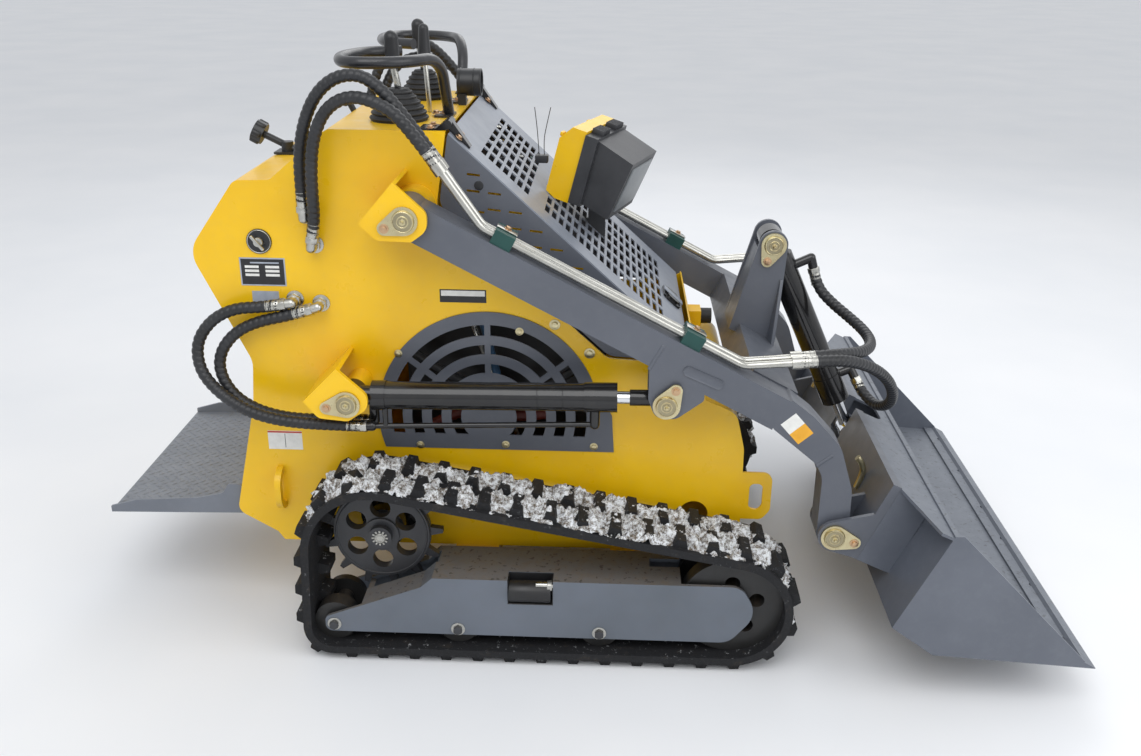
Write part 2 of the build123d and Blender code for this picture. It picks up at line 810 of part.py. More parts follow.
def lamp_piece(section, near, far):
    """A piece of the lamp, from its section seen from the side and its depth from the near face."""
    solid = extrude(Plane.XZ.offset(-far) * (Rot(0, 0, lamp_tilt) * section), far - near, dir=(0, -1, 0))
    return Pos(lamp_at[0], lamp_near, lamp_at[1]) * Rot(0, 0, lamp_turn) * solid


def lamp_bezel():
    shell = polygon((0, -58), (0, 66), (24, 98), (58, 98), (58, -69), (24, -69))
    body = lamp_piece(shell, 0, 2 * lamp_half)
    return body - lamp_piece(Pos(0, 5) * Rectangle(16, 100), 16, 2 * lamp_half - 16)


def work_lamp():
    frame = lamp_piece(polygon((58, -66), (58, 92), (88, 92), (88, -66)), -4, 2 * lamp_half + 4)
    case = lamp_piece(polygon((86, -62), (86, 86), (177, 62), (155, -76)), 8, 2 * lamp_half - 8)
    foot = polygon((10, hood_z(10)), (50, hood_z(50)), (50, 945), (10, 950))
    part = frame + case + slab(foot, -10, 40)
    return part - lamp_piece(polygon((-5, -75), (-5, 110), (58, 110), (58, -75)), -5, 2 * lamp_half + 5)


def hood_z(x):
    return hood_head[1] + (x - hood_head[0]) * tan(radians(hood_angle))


# ---------------------------------------------------------------------- platform

def platform_deck():
    side = outline(
        (*deck_rear, 0), (-763, 249, 0), (-741, 260, 15), (-741, 285, 15), (-785, 323, 10), (-813, 323, 12),
        (-825, 299, 20), (-886, 285, 60), (-1034, 275, 20), (-1097, 257, 0),
    )
    rise = (249 - deck_rear[1]) / (-763 - deck_rear[0])
    front_z = deck_rear[1] + rise * (deck_front - deck_rear[0])
    low = [deck_rear, (deck_front, front_z)]
    deck = polygon(*low, *[(x, z + deck_sheet) for x, z in low[::-1]])
    flange = right(side, *flange_y)
    flange -= right(disc(platform_pin, platform_pin_radius + running_gap), flange_y[0] - 1, flange_y[1] + 1)
    return across(deck, flange_y[1]) + flange + left_of(flange)


# ---------------------------------------------------------------------- controls

def hand_rail():
    x = -296
    points = [
        (x, -105, console_z + 6), (x - 3, -190, rail_z), (-352, -305, rail_z), (-470, -330, rail_z),
        (-506, -220, rail_z), (-470, -112, rail_z), (-400, -80, rail_z),
    ]
    foot = box((x - 28, x + 12), (-136, -74), (console_z, console_z + 5))
    rail = pipe("hand rail", points, handle_radius)
    return (rail + foot) & box((-700, 0), (-500, 0), (console_z, 1400))


def boot(x, y, radius, height):
    """A ribbed rubber boot."""
    ribs = 6
    points = [(0, 0), (radius, 0)]
    for i in range(ribs):
        low = 6 + i * (height - 6) / ribs
        outer = radius - (radius - 20) * (i / ribs) ** 1.4
        points += [(outer, low), (outer - 6, low + (height - 6) / ribs)]
    points += [(0, height)]
    profile = Plane.XZ * polygon(*points)
    return Pos(x, y, console_z) * revolve(profile, Axis.Z)


def control_levers():
    x, y = joystick_at
    parts = []
    for side in (-1, 1):
        rod = rod_between((x, side * y, console_z + boot_height + 1), (x - 8, side * y, 1268), 7)
        grip = rod_between((x - 8, side * y, 1262), (x - 10, side * y, 1314), 15)
        parts.append(rod + grip + Pos(x - 10, side * y, 1314) * Sphere(15))
    rod = rod_between((-346, -54, console_z), (-354, -54, 1268), 5)
    grip = Pos(-354, -54, 1262) * Cone(15, 11, 62, align=(Align.CENTER, Align.CENTER, Align.MIN))
    parts.append(rod + grip + Pos(-354, -54, 1262 + 62) * Sphere(11))
    return group(*parts)


def boom_buffer():
    """A rubber buffer in front of the hull, and the bracket that carries it."""
    x, y, z = buffer_at
    rubber = rod_between((x, -y, z), (x + buffer_depth, -y, z), buffer_radius)
    bracket = polygon((250, z - 20), (x, z - 20), (x, z + 20), (240, z + 20))
    return rubber, right(bracket, y - 28, y + 28)


def rubber_boots():
    rubber = boom_buffer()[0]
    x, y = joystick_at
    return group(boot(x, -y, 60, boot_height), boot(x, y, 54, boot_height), rubber, left_of(rubber))


def buffer_brackets():
    return pair(boom_buffer()[1] - folded_sheet() - front_room())


def front_room():
    """The room inside the hull's sloping front."""
    return across(polygon((100, 568), (282, 568), (254, 683), (100, 700)), hull_half)


def console_fittings():
    horn = rod_between((-299, 76, 1196), (-245, 76, 1196), 31)
    horn -= rod_between((-262, 76, 1196), (-240, 76, 1196), 26)
    horn += box((-297, -279), (54, 73), (console_z, 1172))
    stem = rod_between((-529, 0, 1136.5), (-541, 0, 1160), 7)
    tee = Pos(-541, 0, 1160) * Rot(90, 0, 0) * Cylinder(8, 62)
    foot = box((-716, -660), (-26, 26), (1040.2, 1045))
    post = rod_between((-690, 0, 1043), (-690, 0, 1066), 14)
    screw = rod_between((-670, 0, 1046), (-748, 0, 1084), 8)
    knob = rod_between((-742, 0, 1081), (-764, 0, 1092), 25)
    slope = folded_sheet()
    return group(horn, stem + tee - slope, foot + post + screw + knob)


# -------------------------------------------------------------- hydraulic lines

def elbow(x, z, y_end, way, length):
    """A fitting that stands out of the hull's side and turns along a given way."""
    corner = Vector(x, y_end, z)
    end = corner + Vector(*way).normalized() * length
    part = rod_between((x, -hull_half, z), corner, port_radius)
    part += Pos(corner) * Sphere(port_radius)
    return part + rod_between(corner, end, port_radius), end


def beyond(point, way, run):
    """A point at a run beyond a fitting's end."""
    return tuple(Vector(*point) + Vector(*way).normalized() * run)


def steel_tube_points(y):
    high = arm_depth / 2 + 14
    top = Vector(-282, 1099)
    lean = Vector(96, -137).normalized()
    line = Vector(*arm_point(0, high))
    reach = ((line - top).cross(arm_way).Z) / (lean.cross(arm_way).Z)
    bend = top + lean * reach
    end = Vector(466, 703)
    level = Vector(67, 6).normalized()
    back = ((line - end).cross(arm_way).Z) / (level.cross(arm_way).Z)
    knee = end + level * back
    return [(p.X, y, p.Y) for p in (top, bend, knee, end)]


def steel_tube(y):
    points = steel_tube_points(y)
    path = FilletPolyline(*points, radius=45)
    part = sweep(Plane(path @ 0, z_dir=path % 0) * Circle(tube_radius), path=path)
    for end, before in ((points[0], points[1]), (points[-1], points[-2])):
        back = (Vector(*before) - Vector(*end)).normalized()
        part += rod_between(end, tuple(Vector(*end) + back * 46), hose_radius - 4.5)
        part += rod_between(end, tuple(Vector(*end) + back * 22), tube_collar)
    return part


def steel_tubes():
    lines = [steel_tube(y) for y in tube_y]
    return group(*lines, *[left_of(line) for line in lines])


def tube_clamps():
    parts = []
    for along in clamp_at:
        middle = arm_point(along, arm_depth / 2 + 15)
        block = Pos(*middle) * Rot(0, 0, arm_slope) * Rectangle(44, 30)
        solid = right(block, 364, 426)
        for y in tube_y:
            low = arm_point(along - 40, arm_depth / 2 + 14)
            high = arm_point(along + 40, arm_depth / 2 + 14)
            solid -= rod_between((low[0], y, low[1]), (high[0], y, high[1]), tube_radius + running_gap)
        parts += [solid, left_of(solid)]
    return group(*parts)


hull_ports = (  # x, z, y of the turn, way of the fitting after its turn
    (-571, 968, -336, (0, 0, 1)),
    (-560, 905, -336, (0.2, -0.1, 1)),
    (-612, 783, -336, (-1, 0, -0.15)),
    (-556, 775, -336, (-1, 0, -0.3)),
)


def hull_fittings():
    parts = [elbow(x, z, y, way, 26)[0] for x, z, y, way in hull_ports]
    return group(*parts, *[left_of(part) for part in parts])


def led_out(end, way, run):
    """The first two points of a hose that leaves a fitting in line with it."""
    return [beyond(end, way, seat_gap), beyond(end, way, run)]


def from_port(row):
    x, z, y, way = row
    return led_out(elbow(x, z, y, way, 26)[1], way, 42)


def upper_hoses():
    ends = [led_out(steel_tube_points(y)[0], (-96, 0, 137), 104)[::-1] for y in tube_y]
    rear = from_port(hull_ports[0]) + [
        (-568, -342, 1100), (-552, -347, 1168), (-520, -352, 1228), (-470, -358, 1262),
        (-410, -365, 1258), *ends[0],
    ]
    front = from_port(hull_ports[1]) + [
        (-543, -358, 1010), (-541, -361, 1075), (-531, -364, 1140), (-501, -369, 1198),
        (-449, -380, 1225), (-391, -394, 1213), *ends[1],
    ]
    lines = [pipe("upper hose", route, hose_radius) for route in (rear, front)]
    return group(*lines, *[left_of(line) for line in lines])


def lower_hoses():
    ends = [led_out((x - 24, y, z), (-1, 0, 0), 58)[::-1] for x, y, z in barrel_ports]
    rear = from_port(hull_ports[2]) + [
        (-736, -339, 770), (-786, -344, 745), (-821, -350, 697), (-819, -360, 640),
        (-785, -376, 599), (-730, -391, 564), (-672, -403, 546), (-604, -410, 538), *ends[1],
    ]
    front = from_port(hull_ports[3]) + [
        (-688, -337, 741), (-738, -340, 717), (-773, -344, 675), (-780, -348, 628),
        (-754, -356, 579), (-706, -366, 550), (-646, -375, 536), (-584, -380, 533), *ends[0],
    ]
    lines = [pipe("lower hose", route, hose_radius) for route in (rear, front)]
    return group(*lines, *[left_of(line) for line in lines])


def tilt_port(distance, reach, way):
    """The base, the turn and the end of a fitting on the tilt cylinder."""
    x, z = rod_at(tower_pin, tilt_pin, distance)
    out = Vector(tower_pin[1] - tilt_pin[1], 0, tilt_pin[0] - tower_pin[0]).normalized()
    axis = Vector(x, 0, z)
    corner = axis + out * reach
    return axis + out * (tilt_barrel_radius - 4), corner, corner + Vector(*way).normalized() * 38


def tilt_hoses():
    starts = [led_out(steel_tube_points(y)[-1], (67, 0, 6), 48) for y in tube_y]
    ends = [led_out(tilt_port(*row)[2], row[2], run)[::-1] for row, run in zip(tilt_ports, (38, 26))]
    upper = starts[0] + [
        (566, -345, 700), (612, -292, 685), (643, -235, 676), (655, -180, 674), (648, -130, 681),
        (623, -82, 695), (590, -38, 714), *ends[0],
    ]
    lower = starts[1] + [
        (560, -385, 700), (604, -345, 678), (648, -300, 647), (685, -252, 608), (712, -205, 564),
        (727, -158, 520), (726, -110, 483), (710, -64, 466), *ends[1],
    ]
    return group(*[pipe("tilt hose", route, hose_radius) for route in (upper, lower)])


def both(make):
    """The right piece, and its mirror image."""
    part = make()
    return part, left_of(part)


def track_wheels():
    wheels = [idler(), *rollers()]
    return group(*wheels, *[left_of(part) for part in wheels])


def pin_brackets():
    return group(pair(arm_bracket()), pair(cylinder_bracket()))


nodes = {}
for name, make in (
    ("track", track), ("track_frame", track_frame), ("hull_side", hull_side), ("arm", arm),
    ("lift_barrel", lift_barrel), ("lift_rod", lift_rod),
):
    nodes[name + "_right"], nodes[name + "_left"] = both(make)
for name, make in (
    ("sprockets", sprocket), ("drive_motors", drive_motor), ("grilles", grille),
    ("tie_rings", tie_ring), ("hand_rails", hand_rail),
):
    nodes[name] = pair(make())
nodes["hull_console"], nodes["hull_rear"], nodes["hull_floor"] = hull_panels()
for name, make in (
    ("track_wheels", track_wheels), ("cross_beams", cross_beams), ("engine_block", engine_block),
    ("pin_brackets", pin_brackets), ("cross_member", cross_member), ("tower", tower),
    ("tilt_barrel", tilt_barrel), ("tilt_rod", tilt_rod), ("quick_attach", quick_attach),
    ("bucket", bucket), ("cutting_edge", cutting_edge), ("hood_top", hood_top),
    ("hood_cheeks", hood_cheeks), ("hood_latch", hood_latch), ("hinge_leaves", hinge_leaves),
    ("hood_hinges", hood_hinges), ("lamp_bezel", lamp_bezel), ("work_lamp", work_lamp),
    ("platform_deck", platform_deck), ("rubber_boots", rubber_boots),
    ("buffer_brackets", buffer_brackets), ("control_levers", control_levers),
    ("console_fittings", console_fittings), ("steel_tubes", steel_tubes),
    ("tube_clamps", tube_clamps), ("hull_fittings", hull_fittings),
    ("upper_hoses", upper_hoses), ("lower_hoses", lower_hoses), ("tilt_hoses", tilt_hoses),
):
    nodes[name] = make()

os.makedirs("parts", exist_ok=True)
for name, shape in nodes.items():
    export_step(shape, "parts/" + name + ".step")
print(len(nodes), "nodes")
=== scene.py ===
import json
import math

import bmesh
import bpy
from mathutils import Matrix, Vector, noise


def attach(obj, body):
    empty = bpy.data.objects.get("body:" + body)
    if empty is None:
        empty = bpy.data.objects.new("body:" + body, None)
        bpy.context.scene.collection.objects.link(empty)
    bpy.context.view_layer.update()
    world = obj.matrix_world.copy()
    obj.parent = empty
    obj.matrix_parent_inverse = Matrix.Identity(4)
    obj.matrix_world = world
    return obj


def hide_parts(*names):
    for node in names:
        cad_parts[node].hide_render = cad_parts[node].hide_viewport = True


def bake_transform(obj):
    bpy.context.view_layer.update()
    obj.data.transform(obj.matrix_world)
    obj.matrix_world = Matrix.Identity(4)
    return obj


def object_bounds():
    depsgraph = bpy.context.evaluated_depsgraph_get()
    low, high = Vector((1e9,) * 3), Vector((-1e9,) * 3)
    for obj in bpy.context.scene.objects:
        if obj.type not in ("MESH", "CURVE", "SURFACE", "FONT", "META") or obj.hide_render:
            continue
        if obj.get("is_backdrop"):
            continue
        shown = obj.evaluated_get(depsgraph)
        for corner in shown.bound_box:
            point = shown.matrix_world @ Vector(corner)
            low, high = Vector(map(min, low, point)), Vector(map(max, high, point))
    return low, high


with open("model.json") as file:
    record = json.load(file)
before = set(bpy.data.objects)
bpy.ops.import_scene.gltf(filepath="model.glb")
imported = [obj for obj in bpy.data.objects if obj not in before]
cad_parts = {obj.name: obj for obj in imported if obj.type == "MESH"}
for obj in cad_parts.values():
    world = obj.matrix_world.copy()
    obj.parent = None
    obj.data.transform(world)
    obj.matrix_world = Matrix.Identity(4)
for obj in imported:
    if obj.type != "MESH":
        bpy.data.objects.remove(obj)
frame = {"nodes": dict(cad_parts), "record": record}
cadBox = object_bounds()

print("stage: helpers")
mm = 0.001
nodes = frame["nodes"]
bothSides = (("Right", -1), ("Left", 1))  # a side's name and the sign of its y


def linear(code):
    # sRGB hex to the linear values that the shaders take
    parts = [int(code[i:i + 2], 16) / 255 for i in (1, 3, 5)]
    return [p / 12.92 if p <= 0.04045 else ((p + 0.055) / 1.055) ** 2.4 for p in parts] + [1.0]


def addNode(tree, kind, inputs=None, take=0, **settings):
    # adds a node, sets or links its inputs, and gives back the output that is asked for
    node = tree.nodes.new("ShaderNode" + kind)
    for key, value in settings.items():
        setattr(node, key, value)
    for key, value in (inputs or {}).items():
        if isinstance(value, bpy.types.NodeSocket):
            tree.links.new(value, node.inputs[key])
        else:
            node.inputs[key].default_value = value
    return node.outputs[take]


print("stage: materials")
# A surface's grains are noise patterns: size in millimetres, detail, roughness.
# A layer's masks are multiplied: pattern or "up" (how far the face looks up), its range, the cover it gives.


def enamel(colour, shade, dust, lying, gloss):
    # two-pack enamel sprayed over plate: a fine orange peel, soft patches of tone, dust where it can lie
    lies = ("up", 0.55, 0.95, 0.0, lying)
    return {
        "colour": colour,
        "grains": {
            "tone": (250, 4, 0.55), "grime": (21.7, 6, 0.7), "speck": (11.1, 2, 0.55),
            "gloss": (45.5, 5, 0.55), "relief": (3.1, 2, 0.55),
        },
        "layers": [
            {"colour": shade, "masks": [("tone", 0.35, 0.68, 0.0, 1.0)]},
            {"colour": dust, "masks": [("grime", 0.48, 0.72, 0.55, 1.0), lies], "dull": 0.4},
            {"colour": dust, "masks": [("grime", 0.48, 0.72, 0.0, 0.07)]},
            {"colour": "#231F1B", "masks": [("speck", 0.62, 0.66, 0.0, 0.64), lies]},
        ],
        "gloss": (0.3, 0.75, *gloss), "relief": (0.10, 0.6),
        "shader": {"IOR": 1.5, "Coat Weight": 0.1, "Coat Roughness": 0.2},
    }


def metal(colour, stain, share, rough, size, stretch=(1, 1, 1)):
    # bare or plated steel: metallic, its gloss broken by handling marks, drawn out along x where stretched
    return {
        "colour": colour, "grains": {"tone": (38.5, 4, 0.55), "gloss": (size, 3, 0.55)},
        "layers": [{"colour": stain, "masks": [("tone", 0.35, 0.7, 0.0, share)]}],
        "gloss": (0.3, 0.7, rough * 0.8, rough * 1.25), "stretch": stretch, "shader": {"Metallic": 1.0},
    }


def moulded(colour, shade, rough, size=1.4, strength=0.12):
    # injection-moulded plastic with a light spark-eroded texture, drawn coarser than its real 0.1 mm to show
    return {
        "colour": colour, "grains": {"tone": (71.4, 4, 0.55), "relief": (size, 2, 0.55)},
        "layers": [{"colour": shade, "masks": [("tone", 0.35, 0.7, 0.0, 1.0)]}],
        "relief": (strength, 0.5), "shader": {"Roughness": rough, "IOR": 1.46},
    }


def vinyl(colour, shade):
    # blank printed vinyl: flat and faintly glossy
    return {
        "colour": colour, "grains": {"tone": (16.7, 4, 0.55)},
        "layers": [{"colour": shade, "masks": [("tone", 0.35, 0.7, 0.0, 1.0)]}],
        "shader": {"Roughness": 0.38, "IOR": 1.5},
    }


surfaces = {
    "hullYellow": enamel("#F2C208", "#E6B405", "#C9B37A", 0.08, (0.26, 0.40)),  # warm yellow, clean, smooth
    "boomGrey": enamel("#595D66", "#50545D", "#7E8083", 0.16, (0.30, 0.48)),  # blue grey, half gloss
    "hoodGreyPaintedSkyLight": enamel("#858B96", "#7A808B", "#A3A6AA", 0.20, (0.30, 0.46)),  # the boom's blue grey painted lighter: painted sky light on the hood top
    "bucketGrey": enamel("#5F646E", "#545963", "#8B9097", 0.55, (0.34, 0.52)),  # worn duller by soil
    "frameGrey": enamel("#646B76", "#596069", "#6E6355", 0.96, (0.36, 0.60)),  # thick mud film on its top
    "deckGrey": enamel("#70757E", "#656A73", "#9AA0A8", 0.35, (0.36, 0.60)),  # scuffed by boots
    "blackPaint": enamel("#1C1C1E", "#161617", "#5A554C", 0.05, (0.08, 0.16)),  # wet-looking cylinder black
    "railBlack": enamel("#26272B", "#1C1D20", "#55565A", 0.12, (0.24, 0.42)),  # hand-worn black
    "wheelIron": enamel("#37393D", "#2B2C30", "#5B5244", 0.30, (0.28, 0.50)),  # painted cast iron
    "rollerIron": enamel("#232323", "#191919", "#453A2C", 0.50, (0.34, 0.60)),  # oily iron with mud
    "engineIron": enamel("#1B1B1D", "#101011", "#3A342B", 0.30, (0.35, 0.6)),  # sooty iron, darkened further as painted shade for parts that sit in shade
    "zincPlate": metal("#BFBEB8", "#9E9D95", 0.5, 0.27, 33.3),  # bright zinc plating on steel tube
    "goldZinc": metal("#CFC6A0", "#B5A27C", 0.7, 0.30, 16.7),  # yellow chromated zinc
    "agedZinc": metal("#A89F84", "#8E8367", 0.6, 0.34, 16.7),  # the same, greasy in its grooves
    "copperZinc": metal("#C9A684", "#BFA988", 0.6, 0.34, 11.1),  # chromate gone pinkish on bolts
    "chromeRod": metal("#E3E5E8", "#C9CCD0", 0.3, 0.08, 16.7),  # ground hard chrome, mirror bright
    "wornSteel": metal("#8A8C90", "#5F5D5A", 0.6, 0.42, 8.3, (0.25, 1, 1)),  # scraped bare steel
    "hoseWrap": moulded("#2B2C2F", "#1E1F21", 0.40, 2.4, 0.2),  # polypropylene spiral guard
    "clampGreen": moulded("#1D4A45", "#17403C", 0.48),  # green polypropylene
    "lampBlack": moulded("#3B3C3F", "#2E2F32", 0.46, 2.0, 0.25),  # grained black ABS
    "lampGrey": moulded("#84888B", "#777B7F", 0.42, 2.0, 0.2),  # grained grey ABS
    "leverBlack": moulded("#2A2B2E", "#1D1E20", 0.38),  # smooth nylon
    "hoseBlue": moulded("#3B5F80", "#2C4A66", 0.40),  # blue PVC hose
    "plasticBrown": moulded("#6B2A20", "#4E1F18", 0.45),  # red-brown nylon duct
    "labelWhite": vinyl("#E6E6E2", "#D7D7D3"),  # white vinyl
    "labelBlack": vinyl("#242427", "#1B1B1E"),  # black vinyl
    "labelSilver": vinyl("#A9B0BC", "#9AA1AE"),  # silver-grey vinyl
    "labelAmber": vinyl("#E7A92A", "#DB9C22"),  # amber vinyl
    "labelRed": vinyl("#C4402F", "#B43626"),  # red vinyl
    "softRubber": {  # moulded rubber: dead matt, greyed by fine dust, its pores drawn coarser to show
        "colour": "#28292C", "grains": {"relief": (3.3, 5, 0.65), "dust": (111, 5, 0.7)},
        "layers": [
            {"colour": "#1D1E20", "masks": [("relief", 0.3, 0.7, 0.0, 1.0)]},
            {"colour": "#66645E", "masks": [("dust", 0.45, 0.75, 0.0, 0.10)]},
        ],
        "relief": (0.35, 1.2), "shader": {"Roughness": 0.55, "IOR": 1.52, "Specular IOR Level": 0.35},
    },
    "beltRubber": {  # carbon-filled tread rubber: porous, muddy, dry snow dust caught on what looks up
        "colour": "#1E1F22",
        "grains": {"relief": (4.2, 4, 0.7), "mud": (33.3, 6, 0.75), "powder": (13.3, 8, 0.8)},
        "layers": [
            {"colour": "#131315", "masks": [("relief", 0.3, 0.7, 0.0, 1.0)]},
            {"colour": "#4A4136", "masks": [("mud", 0.55, 0.72, 0.0, 0.35)]},
            {"colour": "#E4E7EA", "masks": [("powder", 0.60, 0.68, 0.0, 1.0), ("up", -0.1, 0.7, 0.06, 0.8)]},
        ],
        "relief": (0.5, 2.0), "shader": {"Roughness": 0.72, "IOR": 1.52, "Specular IOR Level": 0.35},
    },
    "packedSnow": {  # trodden snow: coarse white grains with soil and grit pressed into them
        "colour": "#EEF1F4", "grains": {"soil": (14.3, 8, 0.85), "relief": (6.7, 8, 0.85)},
        "layers": [
            {"colour": "#7A6A55", "masks": [("soil", 0.46, 0.58, 0.0, 1.0)]},
            {"colour": "#2A2724", "masks": [("soil", 0.46, 0.58, 0.0, 1.0), ("relief", 0.4, 0.6, 1.0, 0.0)]},
        ],
        "relief": (0.9, 4.0),
        "shader": {"Roughness": 0.85, "Subsurface Weight": 0.12, "Subsurface Radius": (0.01, 0.01, 0.012)},
    },
    "studioFloor": {  # matt paper backdrop with a faint unevenness
        "colour": "#E6E8EB", "grains": {"tone": (833, 3, 0.55)},
        "layers": [{"colour": "#ECEDEF", "masks": [("tone", 0.3, 0.7, 0.0, 1.0)]}],
        "shader": {"Roughness": 0.9},
    },
}


def makeSurface(name, spec):
    material = bpy.data.materials.new(name)
    material.use_nodes = True
    tree = material.node_tree
    shader = tree.nodes["Principled BSDF"]
    point = addNode(tree, "TexCoord", take="Object")
    where = addNode(tree, "Mapping", {"Vector": point, "Scale": spec.get("stretch", (1, 1, 1))})
    normal = addNode(tree, "NewGeometry", take="Normal")
    sources = {"up": addNode(tree, "SeparateXYZ", {"Vector": normal}, "Z")}
    for grain, (size, detail, rough) in spec["grains"].items():
        values = {"Vector": where, "Scale": 1 / (size * mm), "Detail": detail, "Roughness": rough}
        sources[grain] = addNode(tree, "TexNoise", values)
    colour = linear(spec["colour"])
    gloss = None
    if "gloss" in spec:
        low, high, smooth, rough = spec["gloss"]
        values = {"From Min": low, "From Max": high, "To Min": smooth, "To Max": rough}
        gloss = addNode(tree, "MapRange", {"Value": sources["gloss"], **values})
    for layer in spec["layers"]:
        cover = 1.0
        for source, low, high, least, most in layer["masks"]:
            values = {"From Min": low, "From Max": high, "To Min": least, "To Max": most}
            mask = addNode(tree, "MapRange", {"Value": sources[source], **values})
            cover = addNode(tree, "Math", {0: mask, 1: cover}, operation="MULTIPLY")
        inputs = {0: cover, 6: colour, 7: linear(layer["colour"])}  # factor and the two colours
        colour = addNode(tree, "Mix", inputs, 2, data_type="RGBA")
        if "dull" in layer:
            gloss = addNode(tree, "Math", {0: cover, 1: layer["dull"], 2: gloss}, operation="MULTIPLY_ADD")
    tree.links.new(colour, shader.inputs["Base Color"])
    if gloss:
        tree.links.new(gloss, shader.inputs["Roughness"])
    if "relief" in spec:
        strength, depth = spec["relief"]
        values = {"Height": sources["relief"], "Strength": strength, "Distance": depth * mm}
        tree.links.new(addNode(tree, "Bump", values), shader.inputs["Normal"])
    for key, value in spec["shader"].items():
        shader.inputs[key].default_value = value
    return material


finish = {name: makeSurface(name, spec) for name, spec in surfaces.items()}

slotFinish = {
    "hull_yellow": "hullYellow", "boom_grey": "boomGrey", "black_paint": "blackPaint",
    "belt_rubber": "beltRubber", "soft_rubber": "softRubber", "hose_cover": "hoseWrap",
    "zinc_steel": "zincPlate", "chrome_rod": "chromeRod", "worn_steel": "wornSteel",
    "wheel_iron": "wheelIron", "engine_iron": "engineIron", "clamp_plastic": "clampGreen",
    "lamp_plastic": "lampBlack", "lever_plastic": "leverBlack",
}
ownFinish = {  # nodes whose finish is not the usual one of their slot
    # the hood top takes the boom's grey painted lighter, as painted sky light
    "hood_top": "hoodGreyPaintedSkyLight", "hand_rails": "railBlack", "cutting_edge": "bucketGrey", "bucket": "bucketGrey",
    "track_frame_right": "frameGrey", "track_frame_left": "frameGrey", "platform_deck": "deckGrey",
    "hood_latch": "blackPaint", "track_wheels": "rollerIron", "hood_hinges": "blackPaint",
}
for part in frame["record"]["subparts"]:
    chosen = ownFinish.get(part["node"], slotFinish[part["material_slot"]])
    mesh = nodes[part["node"]].data
    mesh.materials.clear()
    mesh.materials.append(finish[chosen])

finishSlot = {value: key for key, value in slotFinish.items()}
for slot, names in (
    ("belt_rubber", ("packedSnow",)),
    ("zinc_steel", ("goldZinc", "agedZinc", "copperZinc")),
    ("boom_grey", ("hoodGreyPaintedSkyLight", "bucketGrey", "deckGrey", "frameGrey")),
    ("black_paint", ("railBlack",)),
    ("hose_cover", ("hoseBlue",)),
    ("lamp_plastic", (
        "lampGrey", "plasticBrown", "labelWhite", "labelBlack", "labelSilver", "labelAmber", "labelRed",
    )),
):
    finishSlot.update({name: slot for name in names})

print("stage: shape helpers")


def facing(direction, at=(0, 0, 0)):
    # a place whose z looks along a direction
    turn = Vector(direction).to_track_quat("Z", "Y").to_matrix().to_4x4()
    return Matrix.Translation(Vector(at)) @ turn


def shifted(place, x, y, z):
    # a place moved within its own axes, in millimetres
    return place @ Matrix.Translation((x * mm, y * mm, z * mm))


def addPiece(name, bm, body, look, smooth=0.0):
    # turns a finished bmesh into a piece that rides on a body
    bmesh.ops.recalc_face_normals(bm, faces=bm.faces)
    mesh = bpy.data.meshes.new(name)
    bm.to_mesh(mesh)
    bm.free()
    piece = bpy.data.objects.new(name, mesh)
    bpy.context.scene.collection.objects.link(piece)
    mesh.materials.append(finish[look])
    if smooth:
        for face in mesh.polygons:
            face.use_smooth = True
        mesh.set_sharp_from_angle(angle=math.radians(smooth))
    if body:
        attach(piece, body)
    return piece


def soften(bm, edges, size):
    bmesh.ops.bevel(
        bm, geom=list(edges), offset=size, offset_type="OFFSET", segments=2, profile=0.5,
        affect="EDGES", material=-1,
    )


def addCone(bm, place, low, high, tall, around=24, softened=0.0):
    # a drum or cone standing on its place, its rims softened
    made = bmesh.ops.create_cone(
        bm, cap_ends=True, segments=around, radius1=low, radius2=high, depth=tall,
        matrix=place @ Matrix.Translation((0, 0, tall / 2)),
    )
    if softened:
        edges = {edge for vert in made["verts"] for edge in vert.link_edges}
        soften(bm, {edge for edge in edges if edge.calc_face_angle(0) > 0.9}, softened)
    return made["verts"]


def addBlock(bm, place, size, softened=0.0):
    made = bmesh.ops.create_cube(bm, size=1.0, matrix=place @ Matrix.Diagonal((*size, 1)))
    if softened:
        soften(bm, {edge for vert in made["verts"] for edge in vert.link_edges}, softened)


def addBolt(bm, at, direction, radius, washer=1.5):
    # hexagon head with a plain washer under it
    place = facing(direction, at)
    thick = radius * 0.22
    addCone(bm, place, radius * washer, radius * washer, thick, 24, thick * 0.3)
    addCone(bm, place @ Matrix.Translation((0, 0, thick)), radius, radius, radius * 0.75, 6, radius * 0.12)


def addRing(bm, place, ring, tube, around=32, about=10):
    # a torus made by spinning a circle
    start = place @ Matrix.Translation((ring, 0, 0)) @ Matrix.Rotation(math.pi / 2, 4, "X")
    made = bmesh.ops.create_circle(bm, segments=about, radius=tube, matrix=start)
    edges = list({edge for vert in made["verts"] for edge in vert.link_edges})
    bmesh.ops.spin(
        bm, geom=made["verts"] + edges, cent=place.translation, axis=place.to_3x3() @ Vector((0, 0, 1)),
        angle=math.tau, steps=around, use_merge=True,
    )


def wrapDrums(bm, drums):
    # one plate stretched round a few drums
    hull = bmesh.ops.convex_hull(bm, input=drums)
    spare = {item for key in ("geom_interior", "geom_unused") for item in hull[key]}
    spare = {item for item in spare if isinstance(item, bmesh.types.BMVert)}
    bmesh.ops.delete(bm, geom=list(spare), context="VERTS")
    bmesh.ops.dissolve_limit(bm, angle_limit=0.02, verts=bm.verts, edges=bm.edges)


def layCurve(name, points, resolution):
    # a smooth curve that the points control
    curve = bpy.data.curves.new(name, "CURVE")
    curve.dimensions = "3D"
    curve.resolution_u = resolution
    spline = curve.splines.new("NURBS")
    spline.points.add(len(points) - 1)
    for point, at in zip(spline.points, points):
        point.co = (*[value * mm for value in at], 1)
    spline.order_u = 3
    spline.use_endpoint_u = True
    holder = bpy.data.objects.new(name + "Line", curve)
    bpy.context.scene.collection.objects.link(holder)
    return holder


